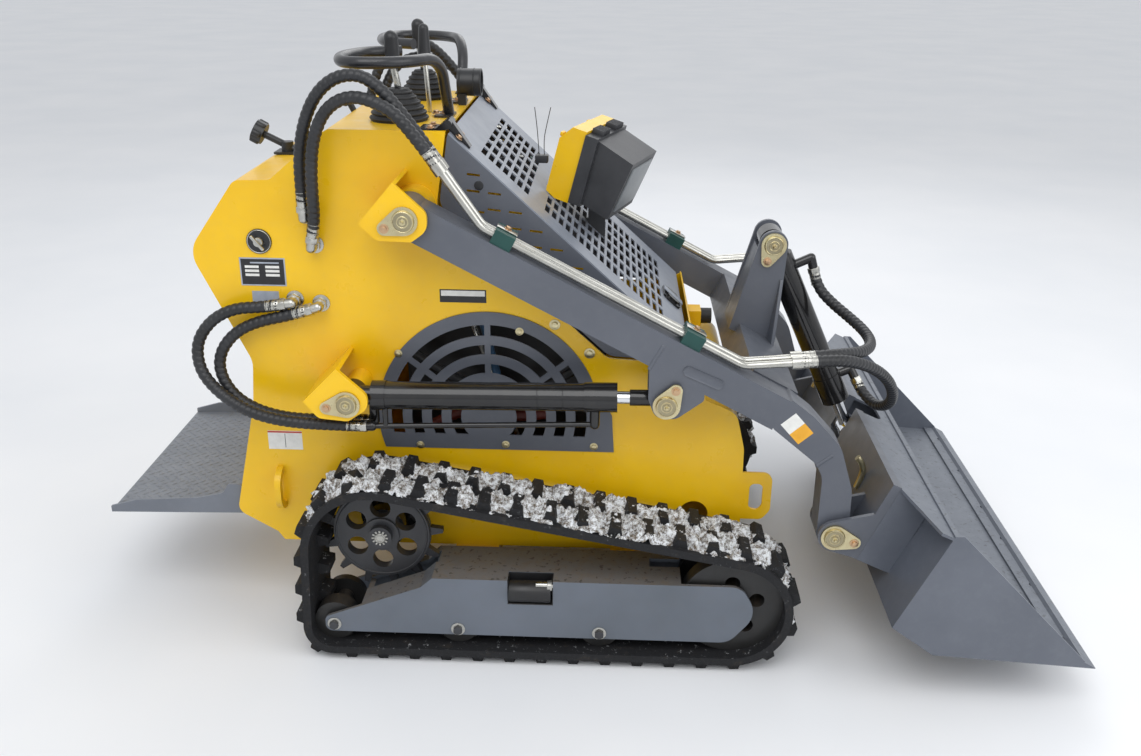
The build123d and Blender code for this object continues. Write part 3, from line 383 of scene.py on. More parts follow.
def curveMesh(holder):
    # the curve's mesh, after which the curve itself goes
    bpy.context.view_layer.update()
    mesh = bpy.data.meshes.new_from_object(holder.evaluated_get(bpy.context.evaluated_depsgraph_get()))
    bpy.data.objects.remove(holder)
    return mesh


def tubeAlong(name, points, radius, body, look, around=12):
    # a round tube on a smooth line, its radius and points in millimetres
    holder = layCurve(name, points, 8)
    holder.data.bevel_depth = radius * mm
    holder.data.bevel_resolution = max(1, around // 4)
    holder.data.use_fill_caps = True
    bm = bmesh.new()
    bm.from_mesh(curveMesh(holder))
    bmesh.ops.remove_doubles(bm, verts=bm.verts, dist=1e-6)
    return addPiece(name, bm, body, look, 40)


def hitNode(node, start, way):
    # where a ray first meets a CAD node, in metres
    found, at, _, _ = nodes[node].ray_cast(Vector(start), Vector(way))
    return at if found else None


def outerFace(node, x, z, sign):
    # the point of a node's outermost surface beside a point given in millimetres
    return hitNode(node, (x * mm, sign * 0.9, z * mm), (0, -sign, 0))


print("stage: camera and studio")
view = {"at": (0.064, -2.57, 1.525), "turn": (68.108, -0.547, 2.267), "lens": 35.136, "sensor": 36.0}
camera = bpy.data.objects.new("camera", bpy.data.cameras.new("camera"))
camera.location = view["at"]
camera.rotation_euler = [math.radians(angle) for angle in view["turn"]]
camera.data.sensor_width = view["sensor"]
camera.data.lens = view["lens"]
camera.data.clip_end = 200
bpy.context.scene.collection.objects.link(camera)
bpy.context.scene.camera = camera
bpy.context.scene.view_settings.view_transform = "Standard"

studio = {
    "sky": "#F3F5F8", "light": 0.80, "shown": 0.95, "floorHalf": 60.0,
    "lamps": {  # place, watts, size
        "key": ((-0.6, -3.2, 4.3), 95.0, 3.4),
        "fill": ((3.2, -2.0, 2.6), 50.0, 3.0),
        "back": ((0.5, 3.4, 3.8), 50.0, 3.0),
    },
    "aim": (0, 0, 0.5),
}
world = bpy.data.worlds.new("studio")
bpy.context.scene.world = world
world.use_nodes = True
sky = world.node_tree
seen = addNode(sky, "LightPath", take="Is Camera Ray")
for ray in ("Is Glossy Ray", "Is Transmission Ray"):
    seen = addNode(sky, "Math", {0: seen, 1: addNode(sky, "LightPath", take=ray)}, operation="MAXIMUM")
strength = addNode(sky, "MapRange", {"Value": seen, "To Min": studio["light"], "To Max": studio["shown"]})
sky.nodes["Background"].inputs["Color"].default_value = linear(studio["sky"])
sky.links.new(strength, sky.nodes["Background"].inputs["Strength"])

bm = bmesh.new()
bmesh.ops.create_grid(bm, x_segments=8, y_segments=8, size=studio["floorHalf"])
floor = bpy.data.objects.new("floor", bpy.data.meshes.new("floor"))
bm.to_mesh(floor.data)
bm.free()
bpy.context.scene.collection.objects.link(floor)
floor.data.materials.append(finish["studioFloor"])
floor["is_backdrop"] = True

for name, (at, power, size) in studio["lamps"].items():
    lamp = bpy.data.lights.new(name, "AREA")
    lamp.energy = power
    lamp.size = size
    holder = bpy.data.objects.new(name, lamp)
    holder.matrix_world = facing(Vector(at) - Vector(studio["aim"]), at)
    bpy.context.scene.collection.objects.link(holder)

print("stage: hoses")
hose = {"radius": 13.0 * mm, "wrap": 2.3 * mm, "pitch": 13.5 * mm, "step": 1.7 * mm, "around": 14}


def evenly(line, step):
    # the line again, with points a fixed step apart, and each point's direction
    total = sum((b - a).length for a, b in zip(line, line[1:]))
    count = max(2, round(total / step))
    places, gone, index = [], 0.0, 0
    for i in range(count + 1):
        target = total * i / count
        while index < len(line) - 2 and gone + (line[index + 1] - line[index]).length < target:
            gone += (line[index + 1] - line[index]).length
            index += 1
        span = line[index + 1] - line[index]
        places.append((line[index] + span * ((target - gone) / span.length), span.normalized()))
    return places, total


def wrappedHose(name, points, bodies, start, end, node):
    # a hose in its spiral guard: a grid rolled round the route, scalloped along the spiral
    line = [vert.co.copy() for vert in curveMesh(layCurve(name, points, 16)).vertices]
    places, total = evenly(line, hose["step"])
    across = places[0][1].orthogonal().normalized()
    rings = []
    for at, along in places:
        across = (across - along * across.dot(along)).normalized()
        rings.append((at, across.copy(), along.cross(across)))
    last = len(rings) - 1
    bm = bmesh.new()
    bmesh.ops.create_grid(bm, x_segments=last, y_segments=hose["around"], size=1.0)
    for vert in bm.verts:
        i = round((vert.co.x + 1) / 2 * last)
        share = (vert.co.y + 1) / 2
        at, beside, over = rings[i]
        turns = i / last * total / hose["pitch"] + share
        scallop = abs(math.sin(math.pi * turns)) ** 0.45
        radius = hose["radius"] - hose["wrap"] * (1 - scallop)
        angle = share * math.tau
        vert.co = at + (beside * math.cos(angle) + over * math.sin(angle)) * radius
    bmesh.ops.remove_doubles(bm, verts=bm.verts, dist=1e-5)
    bmesh.ops.holes_fill(bm, edges=[edge for edge in bm.edges if edge.is_boundary], sides=0)
    piece = addPiece(name, bm, None, "hoseWrap", 60)
    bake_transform(piece)
    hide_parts(node)


hoseRoutes = {  # name: bodies, blend start, blend end, CAD node, both sides, points
    "upperHoseRear": (("chassis", "boom"), (-560, -345, 1000), (-310, -378, 1140), "upper_hoses", True, [
        (-571, -336, 994.3), (-571, -336, 1036), (-568, -342, 1100), (-552, -347, 1168),
        (-520, -352, 1228), (-470, -358, 1262), (-410, -365, 1258), (-341.7, -380.5, 1184.2),
        (-282.2, -380.5, 1099.2),
    ]),
    "upperHoseFront": (("chassis", "boom"), (-550, -350, 950), (-310, -400, 1140), "upper_hoses", True, [
        (-554.9, -338.5, 930.7), (-546.7, -342.6, 971.4), (-543, -358, 1010), (-541, -361, 1075),
        (-531, -364, 1140), (-501, -369, 1198), (-449, -380, 1225), (-391, -394, 1213),
        (-341.7, -409.5, 1184.2), (-282.2, -409.5, 1099.2),
    ]),
    "lowerHoseRear": (("chassis", "lift_barrel"), (-640, -380, 765), (-520, -380, 540), "lower_hoses", True, [
        (-638, -336, 779), (-679.2, -336, 772.9), (-736, -339, 770), (-786, -344, 745),
        (-821, -350, 697), (-819, -360, 640), (-785, -376, 599), (-730, -391, 564),
        (-672, -403, 546), (-604, -410, 538), (-520, -410, 535), (-462.3, -410, 535),
    ]),
    "lowerHoseFront": (
        ("chassis", "lift_barrel"), (-600, -360, 745), (-520, -360, 540), "lower_hoses", True, [
        (-581.2, -336, 767.4), (-621.1, -336, 755.5), (-688, -337, 741), (-738, -340, 717),
        (-773, -344, 675), (-780, -348, 628), (-754, -356, 579), (-706, -366, 550),
        (-646, -375, 536), (-584, -380, 533), (-520, -380, 535), (-462.3, -380, 535),
        ],
    ),
    "tiltHoseUpper": (("boom", "tilt_barrel"), (480, -380, 705), (560, 0, 745), "tilt_hoses", False, [
        (466.3, -380.5, 703), (513.8, -380.5, 707.3), (566, -345, 700), (612, -292, 685),
        (643, -235, 676), (655, -180, 674), (648, -130, 681), (623, -82, 695), (590, -38, 714),
        (560.1, 0, 740), (549.3, 0, 776.1),
    ]),
    "tiltHoseLower": (("boom", "tilt_barrel"), (480, -410, 705), (690, -20, 480), "tilt_hoses", False, [
        (466.3, -409.5, 703), (513.8, -409.5, 707.3), (560, -385, 700), (604, -345, 678),
        (648, -300, 647), (685, -252, 608), (712, -205, 564), (727, -158, 520), (726, -110, 483),
        (710, -64, 466), (687.5, -25.6, 483.3), (676, -15.3, 503.9),
    ]),
}
hoseEnds = []
for name, (bodies, start, end, node, twin, points) in hoseRoutes.items():
    for side, flip in (("Right", 1), ("Left", -1))[:2 if twin else 1]:
        route = [(x, flip * y, z) for x, y, z in points]
        pair = tuple(b + "_" + side.lower() if b == "lift_barrel" else b for b in bodies)
        ends = [(p[0], flip * p[1], p[2]) for p in (start, end)]
        wrappedHose(name + side, route, pair, *ends, node)
        hoseEnds.append((name + side, route, pair))

print("stage: hose fittings")
ferrule = {
    "radius": 12.9 * mm, "length": 32 * mm, "nut": 14.5 * mm, "nutLength": 14 * mm,
    "creases": (12, 21, 30), "crease": 0.9 * mm,
}
for name, route, pair in hoseEnds:
    for end, toward, body in ((route[0], route[1], pair[0]), (route[-1], route[-2], pair[1])):
        at = Vector(end) * mm
        way = (Vector(toward) * mm - at).normalized()
        bm = bmesh.new()
        place = facing(way, at - way * 2 * mm)
        addCone(bm, place, ferrule["radius"], ferrule["radius"] * 0.96, ferrule["length"], 24, 1.2 * mm)
        for along in ferrule["creases"]:
            addRing(bm, shifted(place, 0, 0, along), ferrule["radius"] * 0.99, ferrule["crease"], 24, 6)
        addCone(bm, facing(-way, at), ferrule["nut"], ferrule["nut"], ferrule["nutLength"], 6, 1.2 * mm)
        addPiece(name + "Fitting" + body.title().replace("_", ""), bm, body, "zincPlate", 35)

hullNuts = {
    "face": 304, "places": ((-571, 968), (-560, 905), (-612, 783), (-556, 775)), "flange": 19, "nut": 15,
}
bm = bmesh.new()
for x, z in hullNuts["places"]:
    for _, sign in bothSides:
        place = facing((0, sign, 0), (x * mm, sign * hullNuts["face"] * mm, z * mm))
        addCone(bm, place, hullNuts["flange"] * mm, hullNuts["flange"] * mm, 3 * mm, 32, 0.6 * mm)
        addCone(bm, shifted(place, 0, 0, 3), hullNuts["nut"] * mm, hullNuts["nut"] * mm, 14 * mm, 6, 1 * mm)
addPiece("hullPortNuts", bm, "chassis", "zincPlate", 35)

print("stage: pins and bolts")
pinCap = {"big": 29, "small": 14, "plate": 6, "collar": 23, "collarHigh": 5, "bolt": 6.5}
pinPlaces = {  # name: body, pin, lock bolt, face
    "boomPin": ("chassis", (-343, 994), (-381, 979), 446),
    "liftPin": ("chassis", (-481, 600), (-523, 592), 446),
    "rodPin": ("boom", (188, 610), (206, 645), 436),
    "tipPin": ("carrier", (560, 318), (603, 307), 450),
    "towerPin": ("boom", (440, 857), (427, 820), 60),
}


def addFlagPin(name, body, at, bolt, face, sign):
    # a pin's end: teardrop flag plate, turned collar with a groove, grease nipple and lock bolt
    out = Vector((0, sign, 0))
    spots = [Vector((x, sign * face, z)) * mm for x, z in (at, bolt)]
    plate = pinCap["plate"] * mm
    collar = pinCap["collar"] * mm
    bm = bmesh.new()
    drums = []
    for spot, radius in zip(spots, (pinCap["big"], pinCap["small"])):
        drums += addCone(bm, facing(out, spot), radius * mm, radius * mm, plate, 32)
    wrapDrums(bm, drums)
    top = facing(out, spots[0] + out * plate)
    addCone(bm, top, collar, collar * 0.94, pinCap["collarHigh"] * mm, 36, 1 * mm)
    end = shifted(top, 0, 0, pinCap["collarHigh"])
    addRing(bm, end, collar * 0.88, 1.5 * mm, 36, 8)
    addRing(bm, end, collar * 0.48, 1.5 * mm, 32, 8)
    addCone(bm, end, 7 * mm, 7 * mm, 3 * mm, 6, 0.5 * mm)
    addCone(bm, shifted(end, 0, 0, 3), 4 * mm, 2.6 * mm, 6 * mm, 14, 0.6 * mm)
    addPiece(name, bm, body, "goldZinc", 30)
    bm = bmesh.new()
    addCone(bm, shifted(end, 0, 0, 0.2), collar * 0.8, collar * 0.8, 0.4 * mm, 36)
    addPiece(name + "Groove", bm, body, "agedZinc", 30)
    bm = bmesh.new()
    addBolt(bm, spots[1] + out * plate, out, pinCap["bolt"] * mm)
    addPiece(name + "LockBolt", bm, body, "copperZinc", 30)


for name, (body, at, bolt, face) in pinPlaces.items():
    for side, sign in bothSides:
        addFlagPin(name + side, body, at, bolt, face, sign)

boltPlaces = {  # name: finish, radius, face, (x, z) list
    "hullBolts": ("goldZinc", 8, 304, ((-52, 737), (24, 673))),
    "grilleBolts": ("goldZinc", 6, 308, ((-394, 664), (-128, 721), (-354, 445), (-161, 451), (37, 451))),
    "frameBolts": ("zincPlate", 10.5, 488, ((-532, 84), (-255, 80), (59, 80))),
}
for name, (look, radius, face, spots) in boltPlaces.items():
    bm = bmesh.new()
    for x, z in spots:
        for _, sign in bothSides:
            addBolt(bm, (x * mm, sign * face * mm, z * mm), (0, sign, 0), radius * mm)
    addPiece(name, bm, "chassis", look, 30)

print("stage: snow on the tracks")
snow = {  # in millimetres: the belt's outer rounds (x, z, radius), where the blanket starts and stops
    "rear": (-433, 268, 157), "front": (347, 150, 132), "turns": (150, -35),
    "across": (336, 505), "step": 4.0, "deep": 9.0, "swing": 20.0, "sunk": -7.0, "lump": 34.0, "thick": 1.5,
    "rows": (375, 85, 4.5),  # middle of the inner row of lugs, distance between rows, extra height there
    "slide": 11.0,  # how much less lies where the belt turns down
    "edge": (421, 70, 0.7),  # middle of the blanket, where its edge begins to sink, how fast
}


def beltTop():
    # points on the belt's outer face, from behind the sprocket over to the idler's front
    (rearX, rearZ, rearRadius), (frontX, frontZ, frontRadius) = snow["rear"], snow["front"]
    run = Vector((frontX - rearX, frontZ - rearZ))
    lean = math.atan2(run.y, run.x) + math.acos((rearRadius - frontRadius) / run.length)
    start, stop = [math.radians(angle) for angle in snow["turns"]]
    rounds = []
    for x, z, radius, first, last in ((*snow["rear"], start, lean), (*snow["front"], lean, stop)):
        count = round(abs(last - first) * radius / snow["step"])
        angles = [first + (last - first) * k / count for k in range(count + 1)]
        ways = [Vector((math.cos(angle), math.sin(angle))) for angle in angles]
        rounds.append([(Vector((x, z)) + way * radius, way) for way in ways])
    rear, front = rounds
    count = round(run.length / snow["step"])
    straight = [(rear[-1][0].lerp(front[0][0], k / count), rear[-1][1]) for k in range(1, count)]
    return rear + straight + front


beltPath = beltTop()
inner, outer = snow["across"]
for side, sign in bothSides:
    bm = bmesh.new()
    last = len(beltPath) - 1
    bmesh.ops.create_grid(bm, x_segments=last, y_segments=round((outer - inner) / snow["step"]), size=1.0)
    sunk = set()
    for vert in bm.verts:
        i = round((vert.co.x + 1) / 2 * last)
        y = inner + (outer - inner) * (vert.co.y + 1) / 2
        at, way = beltPath[i]
        spot = Vector((i * snow["step"], y, sign * 400)) / snow["lump"]
        high = snow["deep"] + snow["swing"] * noise.fractal(spot, 0.55, 2.1, 5)
        row, apart, heap = snow["rows"]
        high += heap * math.cos(math.tau * (y - row) / apart) - snow["slide"] * (1 - max(0.0, way.y)) ** 1.5
        middle, half, fall = snow["edge"]
        high -= max(0.0, abs(y - middle) - half) * fall
        if high < snow["sunk"]:
            sunk.add(vert)
            high = snow["sunk"]
        at = at + way * high
        vert.co = Vector((at.x, sign * y, at.y)) * mm
    buried = [face for face in bm.faces if all(vert in sunk for vert in face.verts)]
    bmesh.ops.delete(bm, geom=buried, context="FACES")
    bmesh.ops.recalc_face_normals(bm, faces=bm.faces)
    bmesh.ops.solidify(bm, geom=bm.faces[:], thickness=snow["thick"] * mm)
    addPiece("trackSnow" + side, bm, "chassis", "packedSnow", 80)

print("stage: blank labels")
hullFace = 304
labels = [  # name, finish, x, z, width, height, how far in front of the hull, thickness
    ("dataPlate", "labelSilver", -677, 842, 98, 62, 0.0, 0.8),
    ("dataPlateField", "labelBlack", -677, 842, 92, 56, 0.8, 0.3),
    ("dataPlateTitle", "labelSilver", -672, 862, 62, 3, 1.1, 0.2),
    ("smallPlate", "labelSilver", -676, 786, 58, 26, 0.0, 0.6),
    ("hullLabel", "labelWhite", -663, 446, 78, 46, 0.0, 0.5),
    ("hullLabelEdge", "labelRed", -663, 466, 78, 4, 0.5, 0.2),
    ("hullLabelRule", "labelBlack", -663, 445, 1.2, 34, 0.5, 0.2),
    ("clearLabel", "labelBlack", -249, 797, 100, 29, 0.0, 0.5),
    ("clearLabelField", "labelWhite", -249, 803, 94, 12, 0.5, 0.2),
]
for k in range(6):  # two columns of blank fields on the data plate
    x, z = -700 + 44 * (k % 2), 853 - 9 * (k // 2)
    labels.append((f"dataPlateRow{k}", "labelWhite", x, z, 30, 5.5, 1.1, 0.2))
for name, look, x, z, wide, high, proud, thick in labels:
    for side, sign in bothSides:
        bm = bmesh.new()
        place = Matrix.Translation((x * mm, sign * (hullFace + proud + thick / 2) * mm, z * mm))
        addBlock(bm, place, (wide * mm, thick * mm, high * mm))
        addPiece(name + side, bm, "chassis", look)

armLabel = {"wide": 30, "high": 40, "thick": 0.6, "slope": 48, "white": (453, 573), "amber": (473, 551)}
for name, look, spot in (("armLabelWhite", "labelWhite", "white"), ("armLabelAmber", "labelAmber", "amber")):
    x, z = armLabel[spot]
    for side, sign in bothSides:
        bm = bmesh.new()
        face = outerFace("arm_" + side.lower(), x, z, sign).y
        place = Matrix.Translation((x * mm, face + sign * armLabel["thick"] / 2 * mm, z * mm))
        place = place @ Matrix.Rotation(math.radians(armLabel["slope"]), 4, "Y")
        addBlock(bm, place, (armLabel["wide"] * mm, armLabel["thick"] * mm, armLabel["high"] * mm))
        addPiece(name + side, bm, "boom", look)

print("stage: platform tread")
tread = {
    "pitch": 26, "long": 20, "wide": 7, "high": 1.6, "from": (-1088, -272), "to": (-800, 272),
    "rear": (-1097, 242), "rise": 6.96 / 334, "sheet": 4,  # rear edge (x, z), slope, thickness of the deck
}
bm = bmesh.new()
row = 0
x = tread["from"][0]
while x < tread["to"][0]:
    y = tread["from"][1] + (row % 2) * tread["pitch"] / 2
    while y < tread["to"][1]:
        z = tread["rear"][1] + tread["rise"] * (x - tread["rear"][0]) + tread["sheet"]
        turn = Matrix.Rotation(math.radians(45 if (row + round(y / tread["pitch"])) % 2 else -45), 4, "Z")
        place = Matrix.Translation((x * mm, y * mm, z * mm)) @ turn
        place = place @ Matrix.Diagonal((tread["long"] / 2, tread["wide"] / 2, tread["high"], 1))
        addCone(bm, place, mm, 0.55 * mm, mm, 8)
        y += tread["pitch"]
    x += tread["pitch"] / 2
    row += 1
addPiece("platformTread", bm, "platform", "deckGrey", 40)

print("stage: sprocket hubs")
hub = {"at": (-433, 268), "face": 424, "star": 15, "teeth": 12, "tooth": (7, 4, 10)}
rim = {"face": 404, "rings": ((102, 2.2, 64), (34, 2.5, 40))}  # ring, bead, segments
for side, sign in bothSides:
    x, z = hub["at"]
    bm = bmesh.new()
    place = facing((0, sign, 0), (x * mm, sign * hub["face"] * mm, z * mm))
    addCone(bm, place, 14 * mm, 12 * mm, 4 * mm, 24, 1 * mm)
    addRing(bm, shifted(place, 0, 0, 4), 9 * mm, 2 * mm, 24, 8)
    for k in range(hub["teeth"]):
        tooth = shifted(place @ Matrix.Rotation(math.tau * k / hub["teeth"], 4, "Z"), hub["star"], 0, -3)
        addBlock(bm, tooth, [value * mm for value in hub["tooth"]], 0.8 * mm)
    addPiece("sprocketHub" + side, bm, "chassis", "zincPlate", 30)
    bm = bmesh.new()
    place = facing((0, sign, 0), (x * mm, sign * rim["face"] * mm, z * mm))
    for ring, bead, around in rim["rings"]:
        addRing(bm, place, ring * mm, bead * mm, around, 8)
    addPiece("sprocketRim" + side, bm, "chassis", "wheelIron", 40)

print("stage: isolator switch")
switch = {"at": (-679, 909), "disc": 27, "ring": 24.5, "key": (7, 40, 8), "turned": 40}
for side, sign in bothSides:
    place = facing((0, sign, 0), (switch["at"][0] * mm, sign * hullFace * mm, switch["at"][1] * mm))
    bm = bmesh.new()
    addCone(bm, place, switch["disc"] * mm, switch["disc"] * mm, 3 * mm, 40, 0.6 * mm)
    addPiece("switchDisc" + side, bm, "chassis", "leverBlack", 30)
    bm = bmesh.new()
    addRing(bm, shifted(place, 0, 0, 3), switch["ring"] * mm, 1.2 * mm, 48, 8)
    addCone(bm, shifted(place, 0, 0, 3), 12 * mm, 10 * mm, 9 * mm, 24, 1 * mm)
    turned = shifted(place, 0, 0, 16) @ Matrix.Rotation(math.radians(switch["turned"]), 4, "Z")
    addBlock(bm, turned, [value * mm for value in switch["key"]], 2.5 * mm)
    addPiece("switchKey" + side, bm, "chassis", "zincPlate", 30)

print("stage: controls")
rods = (  # foot, top, radius
    ((-394, -168, 1216), (-402, -168, 1262), 7.4),
    ((-394, 168, 1216), (-402, 168, 1262), 7.4),
    ((-346, -54, 1147), (-353.5, -54, 1262), 5.4),
)
bm = bmesh.new()
for foot, top, radius in rods:
    run = (Vector(top) - Vector(foot)) * mm
    addCone(bm, facing(run, Vector(foot) * mm), radius * mm, radius * mm, run.length, 20, 0.2 * mm)
addPiece("leverRods", bm, "chassis", "zincPlate", 40)

boot = {"x": -394, "y": 168, "low": 1152, "pitch": 10.5, "ribs": 7, "bead": 3.2}
bm = bmesh.new()
for _, sign in bothSides:
    for k in range(boot["ribs"]):
        middle = Vector((boot["x"], sign * boot["y"], boot["low"] + boot["pitch"] * k)) * mm
        hit = hitNode("rubber_boots", middle + Vector((0, sign * 0.2, 0)), (0, -sign, 0))
        if hit:
            addRing(bm, Matrix.Translation(middle), abs(hit.y - middle.y), boot["bead"] * mm, 48, 10)
addPiece("bootRibs", bm, "chassis", "softRubber", 60)

hood = {"slope": math.radians(42.2), "top": (-269, 1142)}  # x and z of its top edge
hoodWay = Vector((math.cos(hood["slope"]), 0, -math.sin(hood["slope"])))
hoodUp = Vector((-hoodWay.z, 0, hoodWay.x))
hoodTop = Vector((hood["top"][0], 0, hood["top"][1])) * mm
bm = bmesh.new()
for _, sign in bothSides:
    for x in (-324, -305):
        addBolt(bm, Vector((x, sign * 105, 1151)) * mm, (0, 0, 1), 7 * mm)
    for y in (252, 292):  # hinge leaves: one bolt on the console, one on the hood
        addBolt(bm, Vector((-308, sign * y, 1150)) * mm, (0, 0, 1), 6 * mm)
        at = hoodTop + hoodWay * 21 * mm + hoodUp * 4 * mm + Vector((0, sign * y * mm, 0))
        addBolt(bm, at, hoodUp, 6 * mm)
addPiece("consoleBolts", bm, "chassis", "copperZinc", 30)

knob = {"at": (-753, 0, 1086.5), "way": (-0.886, 0, 0.463), "lobes": 6, "out": 21, "radius": 8, "tall": 22}
bm = bmesh.new()
for k in range(knob["lobes"]):
    turn = Matrix.Rotation(math.tau * k / knob["lobes"], 4, "Z")
    place = facing(knob["way"], Vector(knob["at"]) * mm) @ turn
    radius = knob["radius"] * mm
    addCone(bm, shifted(place, knob["out"], 0, -10), radius, radius, knob["tall"] * mm, 16, 3 * mm)
addPiece("knobLobes", bm, "chassis", "leverBlack", 40)

horn = {"at": (-299, 76, 1196), "rings": ((6, 31, 1.6), (38, 31, 1.4), (53, 29, 2.6)), "glass": (38, 25)}
place = facing((1, 0, 0), Vector(horn["at"]) * mm)
bm = bmesh.new()
for along, radius, bead in horn["rings"]:
    addRing(bm, shifted(place, 0, 0, along), radius * mm, bead * mm, 48, 8)
addPiece("hornRings", bm, "chassis", "leverBlack", 40)
bm = bmesh.new()
along, radius = horn["glass"]
addCone(bm, shifted(place, 0, 0, along), radius * mm, radius * mm, 4 * mm, 40, 1 * mm)
addPiece("hornGlass", bm, "chassis", "lampGrey", 40)

print("stage: track frame details")
notch = {
    "x": (-144, -44), "face": 488, "shadeSheet": 1.6,
    "piston": (-141, 175, 24, 92),  # start x, z, radius, length
    "screw": (-82, 481, 195),  # start x, y, z
}
for side, sign in bothSides:
    middle = sum(notch["x"]) / 2
    back = abs(hitNode("track_frame_" + side.lower(), (middle * mm, sign * 0.6, 172 * mm), (0, -sign, 0)).y)
    deep = notch["face"] * mm - back - 3 * mm
    y = sign * (back + deep / 2 + 1 * mm)
    # thin dark sheets over the notch's back, sides and floor: painted shade in the recess; the piston among
    # them is a real part
    bm = bmesh.new()
    sheet = notch["shadeSheet"] * mm
    at = (middle * mm, sign * (back + 1 * mm), 178 * mm)
    addBlock(bm, Matrix.Translation(at), (98 * mm, sheet, 58 * mm))
    for x in (notch["x"][0] + 1.2, notch["x"][1] - 1.2):
        addBlock(bm, Matrix.Translation((x * mm, y, 177 * mm)), (sheet, deep, 56 * mm))
    addBlock(bm, Matrix.Translation((middle * mm, y, 149.2 * mm)), (98 * mm, deep, sheet))
    start, z, radius, length = notch["piston"]
    piston = facing((1, 0, 0), (start * mm, sign * (back + 25 * mm), z * mm))
    addCone(bm, piston, radius * mm, radius * mm, length * mm, 32, 2 * mm)
    addPiece("notchShadeAndPiston" + side, bm, "chassis", "engineIron", 30)
    bm = bmesh.new()
    x, y, z = notch["screw"]
    screw = facing((1, 0, 0), (x * mm, sign * y * mm, z * mm))
    addCone(bm, screw, 7 * mm, 7 * mm, 38 * mm, 20, 0.5 * mm)
    addCone(bm, shifted(screw, 0, 0, 25), 13 * mm, 13 * mm, 11 * mm, 6, 1 * mm)
    addPiece("tensionScrew" + side, bm, "chassis", "zincPlate", 30)
bm = bmesh.new()
for x, z in boltPlaces["frameBolts"][3]:
    for _, sign in bothSides:
        at = Vector((x, sign * 490.4, z)) * mm
        addCone(bm, facing((0, sign, 0), at), 11 * mm, 11 * mm, 8 * mm, 6, 1 * mm)
addPiece("frameBoltHeads", bm, "chassis", "wheelIron", 30)

print("stage: arm details")
armSlot = {"at": (262, 672), "slope": math.radians(23.6), "half": 34, "radius": 11, "thick": 2.4, "rim": 3.5}
for side, sign in bothSides:
    x, z = armSlot["at"]
    face = outerFace("arm_" + side.lower(), x, z, sign).y
    bm = bmesh.new()
    drums = []
    for end in (-1, 1):
        along = end * armSlot["half"]
        at = Vector((x + along * math.cos(armSlot["slope"]), 0, z - along * math.sin(armSlot["slope"]))) * mm
        at.y = face
        radius = armSlot["radius"] * mm
        drums += addCone(bm, facing((0, sign, 0), at), radius, radius, armSlot["thick"] * mm, 32)
    wrapDrums(bm, drums)
    top = max(bm.faces, key=lambda item: item.calc_center_median().y * sign)
    bmesh.ops.inset_region(bm, faces=[top], thickness=armSlot["rim"] * mm, depth=0)
    bmesh.ops.translate(bm, verts=top.verts, vec=(0, -sign * 2.2 * mm, 0))
    addPiece("armSlot" + side, bm, "boom", "boomGrey", 40)

welds = {  # start and end in x and z
    "bossWeldRear": ((176, 738), (150, 690)),
    "kneeWeld": ((498, 466), (540, 500)),
}
for name, (start, end) in welds.items():
    for side, sign in bothSides:
        bm = bmesh.new()
        span = Vector(end) - Vector(start)
        count = round(span.length / 4)
        for k in range(count + 1):
            x, z = Vector(start) + span * (k / count)
            hit = outerFace("arm_" + side.lower(), x, z, sign)
            if hit:
                place = Matrix.Translation(hit) @ Matrix.Diagonal((4.2 * mm, 1.8 * mm, 4.2 * mm, 1))
                bmesh.ops.create_icosphere(bm, subdivisions=2, radius=1.0, matrix=place)
        addPiece(name + side, bm, "boom", "boomGrey", 80)

clamp = {"pin": (-343, 395, 994), "slope": math.radians(27.6), "along": (190, 628), "plate": (22, 46, 2.5)}
armWay = Vector((math.cos(clamp["slope"]), 0, -math.sin(clamp["slope"])))
armUp = Vector((-armWay.z, 0, armWay.x))
for side, sign in bothSides:
    plates, bolts = bmesh.new(), bmesh.new()
    x, y, z = clamp["pin"]
    for along in clamp["along"]:
        at = Vector((x, sign * y, z)) * mm + armWay * along * mm
        hit = hitNode("tube_clamps", at + armUp * 0.2, -armUp)
        place = shifted(facing(armUp, hit), 0, 0, 2)
        addBlock(plates, place, [value * mm for value in clamp["plate"]], 0.8 * mm)
        addBolt(bolts, hit + armUp * 3.2 * mm, armUp, 6.5 * mm, 1.3)
    addPiece("clampPlates" + side, plates, "boom", "zincPlate", 30)
    addPiece("clampBolts" + side, bolts, "boom", "copperZinc", 30)

print("stage: cylinder details")
lift = {  # pins in x and z, the cylinder's y, lines round the barrel, sleeve on the rod
    "barrelPin": (-481, 600), "rodPin": (188, 610), "y": 395,
    "lines": (60, 398, 452, 540), "ring": (30.2, 0.9),
    "sleeve": (112, 608.9, 17.5, 46),  # x, z, radius, length
}
for side, sign in bothSides:
    (startX, startZ), (endX, endZ) = lift["barrelPin"], lift["rodPin"]
    way = Vector((endX - startX, 0, endZ - startZ)).normalized()
    bm = bmesh.new()
    x, z, radius, length = lift["sleeve"]
    sleeve = facing(way, (x * mm, sign * lift["y"] * mm, z * mm))
    addCone(bm, sleeve, radius * mm, radius * mm, length * mm, 32, 1.5 * mm)
    addPiece("rodSleeve" + side, bm, "lift_rod_" + side.lower(), "blackPaint", 30)
    bm = bmesh.new()
    for along in lift["lines"]:
        at = Vector((startX, sign * lift["y"], startZ)) * mm + way * along * mm
        addRing(bm, facing(way, at), lift["ring"][0] * mm, lift["ring"][1] * mm, 48, 8)
    addPiece("glandLines" + side, bm, "lift_barrel_" + side.lower(), "blackPaint", 40)

